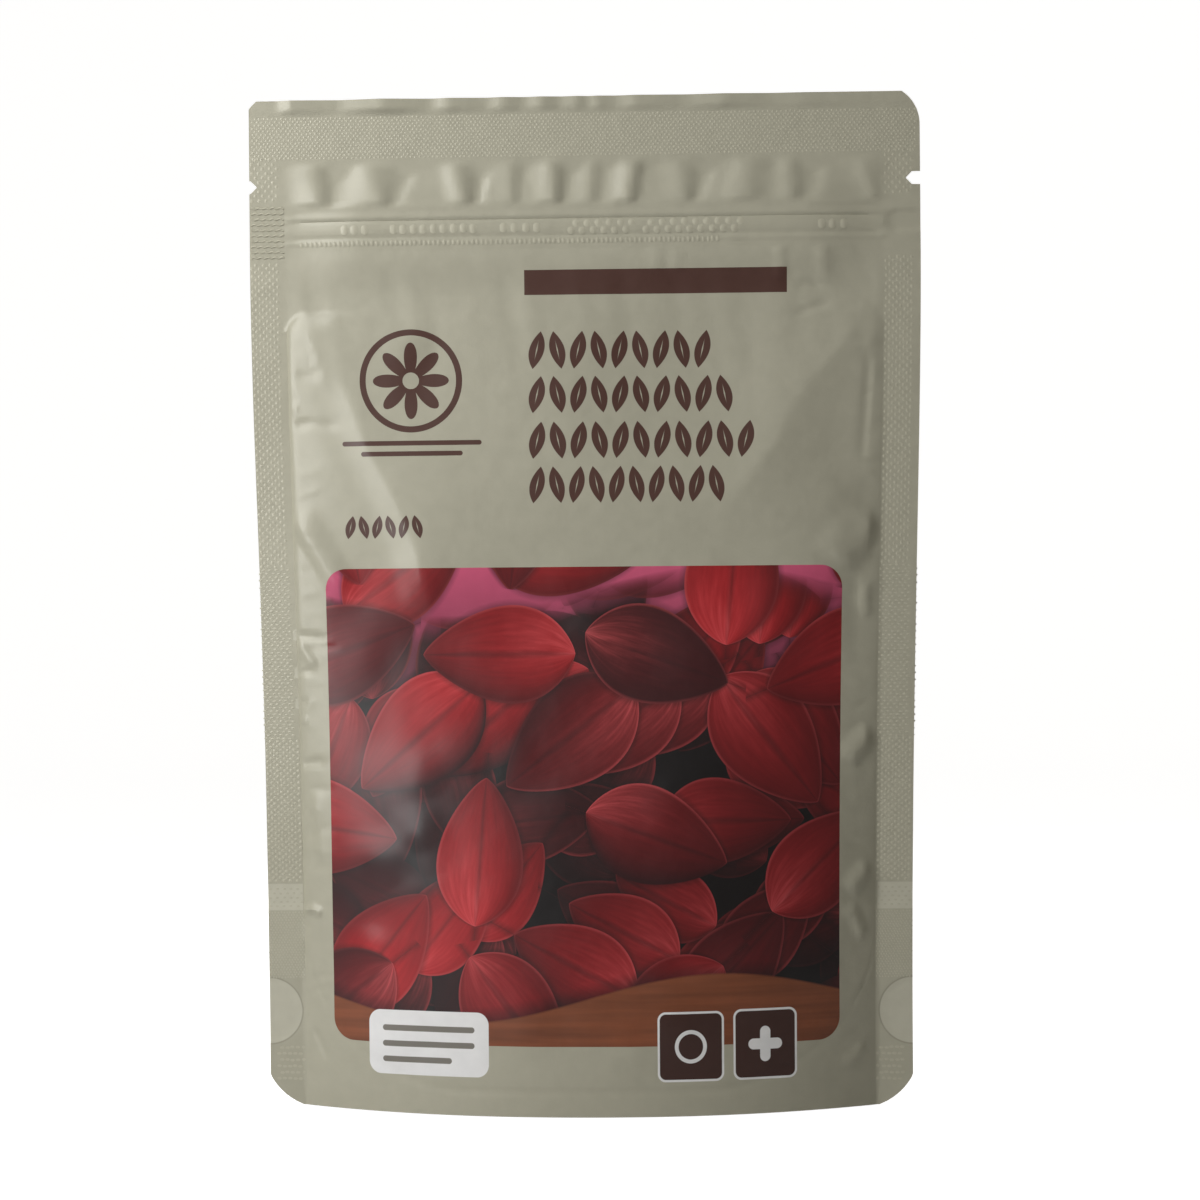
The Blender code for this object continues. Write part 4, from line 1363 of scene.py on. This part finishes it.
def gusset_mesh(name, s):
    """The folded base: welded skirts, legs that the fruit presses in, and the fold."""
    u = sheet_columns(s)[::2]
    edge = edge_of(s, 0.0, False)
    inner = half_inner(s)
    u = np.clip(u, -1, 1) * inner + np.sign(u) * np.maximum(np.abs(u) - 1, 0) * (edge - inner)
    foot = seal_height(s, u)

    def welded(z):
        sunk = 0.02 * MM + 0.25 * MM * ease(0, 4 * MM, inner - np.abs(u))
        return film_depth(s, u, z, FRONT) + spot_dip(s, u, z) * (z < LAP_HEAD) - s.film - sunk

    sealed = [(welded(foot * share), foot * share) for share in np.linspace(0, 0.92, 6)]
    depth, half_gap = welded(foot), s.film
    fold = foot + np.sqrt((s.gusset_rise - foot) ** 2 - (depth - half_gap) ** 2)
    length = np.hypot(depth - half_gap, fold - foot)
    legs = []
    for share in np.linspace(0, 1, 14):
        bow = LEG_BOW * math.sin(math.pi * share) * (depth - half_gap) / s.belly_depth
        legs.append((
            depth + (half_gap - depth) * share - bow * (fold - foot) / length,
            foot + (fold - foot) * share - bow * (depth - half_gap) / length))
    half = sealed + legs
    path = [(-y, z) for y, z in half] + [(y, z) for y, z in reversed(half)]
    points = np.array([np.stack((across(s, u, z), y, z), axis=-1) for y, z in path])
    flat = np.stack(np.meshgrid(u, np.linspace(0, 2 * s.gusset_rise, len(path))), axis=-1)
    return grid_mesh(name, points, flat)


def aim(obj, place, target, roll=0.0):
    """Puts a camera or a light at a place and turns it towards a target."""
    obj.location = place
    turn = (Vector(target) - Vector(place)).to_track_quat("-Z", "Y")
    obj.rotation_euler = (turn @ Euler((0, 0, roll)).to_quaternion()).to_euler()


def add_light(name, place, target, wide, tall, power):
    """A softbox that faces its target."""
    light = bpy.data.lights.new(name, "AREA")
    light.shape, light.size, light.size_y = "RECTANGLE", wide, tall
    light.energy = power
    aim(link(name, light), place, target)


def sweep_mesh(name):
    """A floor that curves up into a backdrop."""
    profile = [(-2.5, 0.0), (1.2, 0.0)]
    profile += [
        (1.2 + 0.8 * math.sin(turn), 0.8 - 0.8 * math.cos(turn))
        for turn in np.linspace(0, math.pi / 2, 17)[1:]
    ]
    profile.append((2.0, 3.5))
    shape = bmesh.new()
    rows = [[shape.verts.new((x, y, z - 0.0002)) for x in (-3, 3)] for y, z in profile]
    for low, high in zip(rows, rows[1:]):
        shape.faces.new((low[0], low[1], high[1], high[0]))
    mesh = bpy.data.meshes.new(name)
    shape.to_mesh(mesh)
    shape.free()
    mesh.shade_smooth()
    return mesh


def paper_white():
    """Pale seamless paper, lit so far that it shows as white in the picture."""
    material, n, shader = new_material("seamless paper")
    seen = n.add("ShaderNodeLightPath", out="Is Camera Ray")
    n.feed_all(shader, {
        "Base Color": (0.6, 0.6, 0.6, 1), "Roughness": 0.9,
        "Emission Color": (1, 1, 1, 1), "Emission Strength": seen * 0.9})
    return material


@contextmanager
def edited(mesh, weld):
    """Gives the mesh as a BMesh, its vertices welded within a distance, and takes it back."""
    shape = bmesh.new()
    shape.from_mesh(mesh)
    bmesh.ops.remove_doubles(shape, verts=shape.verts, dist=weld)
    yield shape
    shape.to_mesh(mesh)
    shape.free()


def crush(s, mesh):
    """Thins a zip strip towards its ends, as far as the films over it close up."""
    with edited(mesh, 0.001 * MM) as shape:
        for place in np.linspace(ZIP_CRUSH, ZIP_LAST_CUT, 14):
            for side in (-1, 1):
                bmesh.ops.bisect_plane(
                    shape, geom=shape.verts[:] + shape.edges[:] + shape.faces[:],
                    plane_co=(side * place, 0, 0), plane_no=(1, 0, 0))
        for vert in shape.verts:
            vert.co.y *= max(float(zip_fade(s, vert.co.x)) ** 2, 0.02)


def flatten_heap(s, mesh):
    """Moves the heap's front back by as much as the film in front of it stands back."""
    with edited(mesh, 0.01 * MM) as shape:
        for place in (vert.co for vert in shape.verts if vert.co.y < 0):
            lost = flat_loss(s, place.x, place.z) - hollow_rise(place.x, place.z)
            place.y = min(place.y + lost, 0)


def settings():
    """The add-on's three groups of values."""
    scene = bpy.context.scene
    return scene.pouch_sheet, scene.pouch_inks, scene.pouch_stage


def finish_piece(obj, node=None):
    """Puts a piece on its body and in the place of its CAD node."""
    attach(obj, BODY)
    if node:
        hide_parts(node)


def inner_layer():
    return plain_laminate("inner sealing layer", srgb(176, 176, 172))


def build_panel(side, name, node, laminate):
    """One printed film with its thickness and its embossing."""
    s, inks, _ = settings()
    points, sheet = film_points(s, side)
    obj = link(name, grid_mesh(name, points, sheet))
    obj.data.materials.append(laminate)
    obj.data.materials.append(inner_layer())
    # The embossing's own material is the taupe painted lighter, as painted glint
    marks = emboss(name + "_embossing", s, obj, plain_laminate(
        "embossed laminate", (c * EMBOSSED_GLINT_PAINT for c in inks.taupe)))
    thicken(obj, s.film)
    finish_piece(obj, node)
    finish_piece(marks)


class POUCH_OT_front(Operator):
    """Builds the printed front film"""

    bl_idname = "pouch.front"
    bl_label = "Front film"

    def execute(self, context):
        s, inks, _ = settings()
        build_panel(FRONT, "front_film", "front_panel", front_laminate(s, inks))
        return {"FINISHED"}


class POUCH_OT_back(Operator):
    """Builds the back film"""

    bl_idname = "pouch.back"
    bl_label = "Back film"

    def execute(self, context):
        s, inks, _ = settings()
        build_panel(BACK, "back_film", "back_panel", back_laminate(s, inks))
        return {"FINISHED"}


class POUCH_OT_gusset(Operator):
    """Builds the folded base gusset"""

    bl_idname = "pouch.gusset"
    bl_label = "Base gusset"

    def execute(self, context):
        s, inks, _ = settings()
        obj = link("gusset_film", gusset_mesh("gusset_film", s))
        obj.data.materials.append(plain_laminate("bare laminate", inks.taupe))
        obj.data.materials.append(inner_layer())
        thicken(obj, s.film)
        finish_piece(obj, "base_gusset")
        return {"FINISHED"}


class POUCH_OT_zip(Operator):
    """Builds both zip strips, which the side seals crush at their ends"""

    bl_idname = "pouch.zip"
    bl_label = "Zip strips"

    def execute(self, context):
        s, _, _ = settings()
        plastic = zip_plastic()
        for node in ("zip_groove_strip", "zip_rib_strip"):
            strip = link("crushed_" + node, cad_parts[node].data.copy())
            crush(s, strip.data)
            strip.data.materials.clear()
            strip.data.materials.append(plastic)
            finish_piece(strip, node)
        return {"FINISHED"}


class POUCH_OT_fruit(Operator):
    """Fills the pouch with dried berries"""

    bl_idname = "pouch.fruit"
    bl_label = "Dried berries"

    def execute(self, context):
        s, inks, _ = settings()
        heap = link("dried_berries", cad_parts["berry_fill"].data.copy())
        flatten_heap(s, heap.data)
        modifier_inputs(heap, shared("berry heap", build_heap_tree), {
            "Spacing": 7.8 * MM, "Clearance": 4 * MM, "Radius": 4.6 * MM, "Seed": 3,
            "Material": fruit_skin(inks)})
        baked(heap)
        finish_piece(heap, "berry_fill")
        return {"FINISHED"}


class POUCH_OT_stage(Operator):
    """Sets up the paper sweep, the lights and the camera"""

    bl_idname = "pouch.stage"
    bl_label = "Stage"

    def execute(self, context):
        scene = context.scene
        _, _, stage = settings()
        sweep = link("paper_sweep", sweep_mesh("paper_sweep"))
        sweep.data.materials.append(paper_white())
        centre = (0, 0, stage.aim_z)
        add_light("key softbox", (-0.27, -0.26, 0.3), centre, 0.18, 0.5, 1.7)
        add_light("back softbox", (-0.2, 0.45, 0.35), centre, 0.4, 0.4, 1.6)
        world = bpy.data.worlds.new("soft room")
        world.use_nodes = True
        Nodes(world.node_tree).feed_all(world.node_tree.nodes["Background"], {
            "Color": (1, 0.95, 0.84, 1), "Strength": 0.17})
        scene.world = world
        scene.view_settings.view_transform = "Standard"
        camera = link("camera", bpy.data.cameras.new("camera"))
        camera.data.sensor_width = 36
        camera.data.lens = 36 * stage.distance / stage.frame_width
        target = Vector((stage.aim_x, 0, stage.aim_z))
        back = Vector((math.sin(stage.turn), -math.cos(stage.turn), 0)) * stage.distance
        aim(camera, target + back, target, -stage.roll)
        scene.camera = camera
        return {"FINISHED"}


class POUCH_PT_panel(Panel):
    """Lists the pouch's pieces and sizes"""

    bl_label = "Pouch"
    bl_idname = "POUCH_PT_panel"
    bl_space_type = "VIEW_3D"
    bl_region_type = "UI"
    bl_category = "Pouch"

    def draw(self, context):
        for group in settings():
            box = self.layout.box()
            for key in group.__annotations__:
                box.prop(group, key)
        for operator in OPERATORS:
            self.layout.operator(operator.bl_idname)


GROUPS = {"pouch_sheet": PouchSheet, "pouch_inks": PouchInks, "pouch_stage": PouchStage}
OPERATORS = (
    POUCH_OT_stage, POUCH_OT_front, POUCH_OT_back, POUCH_OT_gusset, POUCH_OT_zip, POUCH_OT_fruit)


def register():
    for cls in (*GROUPS.values(), *OPERATORS, POUCH_PT_panel):
        bpy.utils.register_class(cls)
    for key, cls in GROUPS.items():
        setattr(bpy.types.Scene, key, PointerProperty(type=cls))


def unregister():
    for key in GROUPS:
        delattr(bpy.types.Scene, key)
    for cls in (POUCH_PT_panel, *reversed(OPERATORS), *reversed(GROUPS.values())):
        bpy.utils.unregister_class(cls)


def main():
    register()
    bpy.ops.pouch.stage()
    bpy.ops.pouch.front()
    bpy.ops.pouch.back()
    bpy.ops.pouch.gusset()
    bpy.ops.pouch.zip()
    bpy.ops.pouch.fruit()


if __name__ == "__main__":
    main()
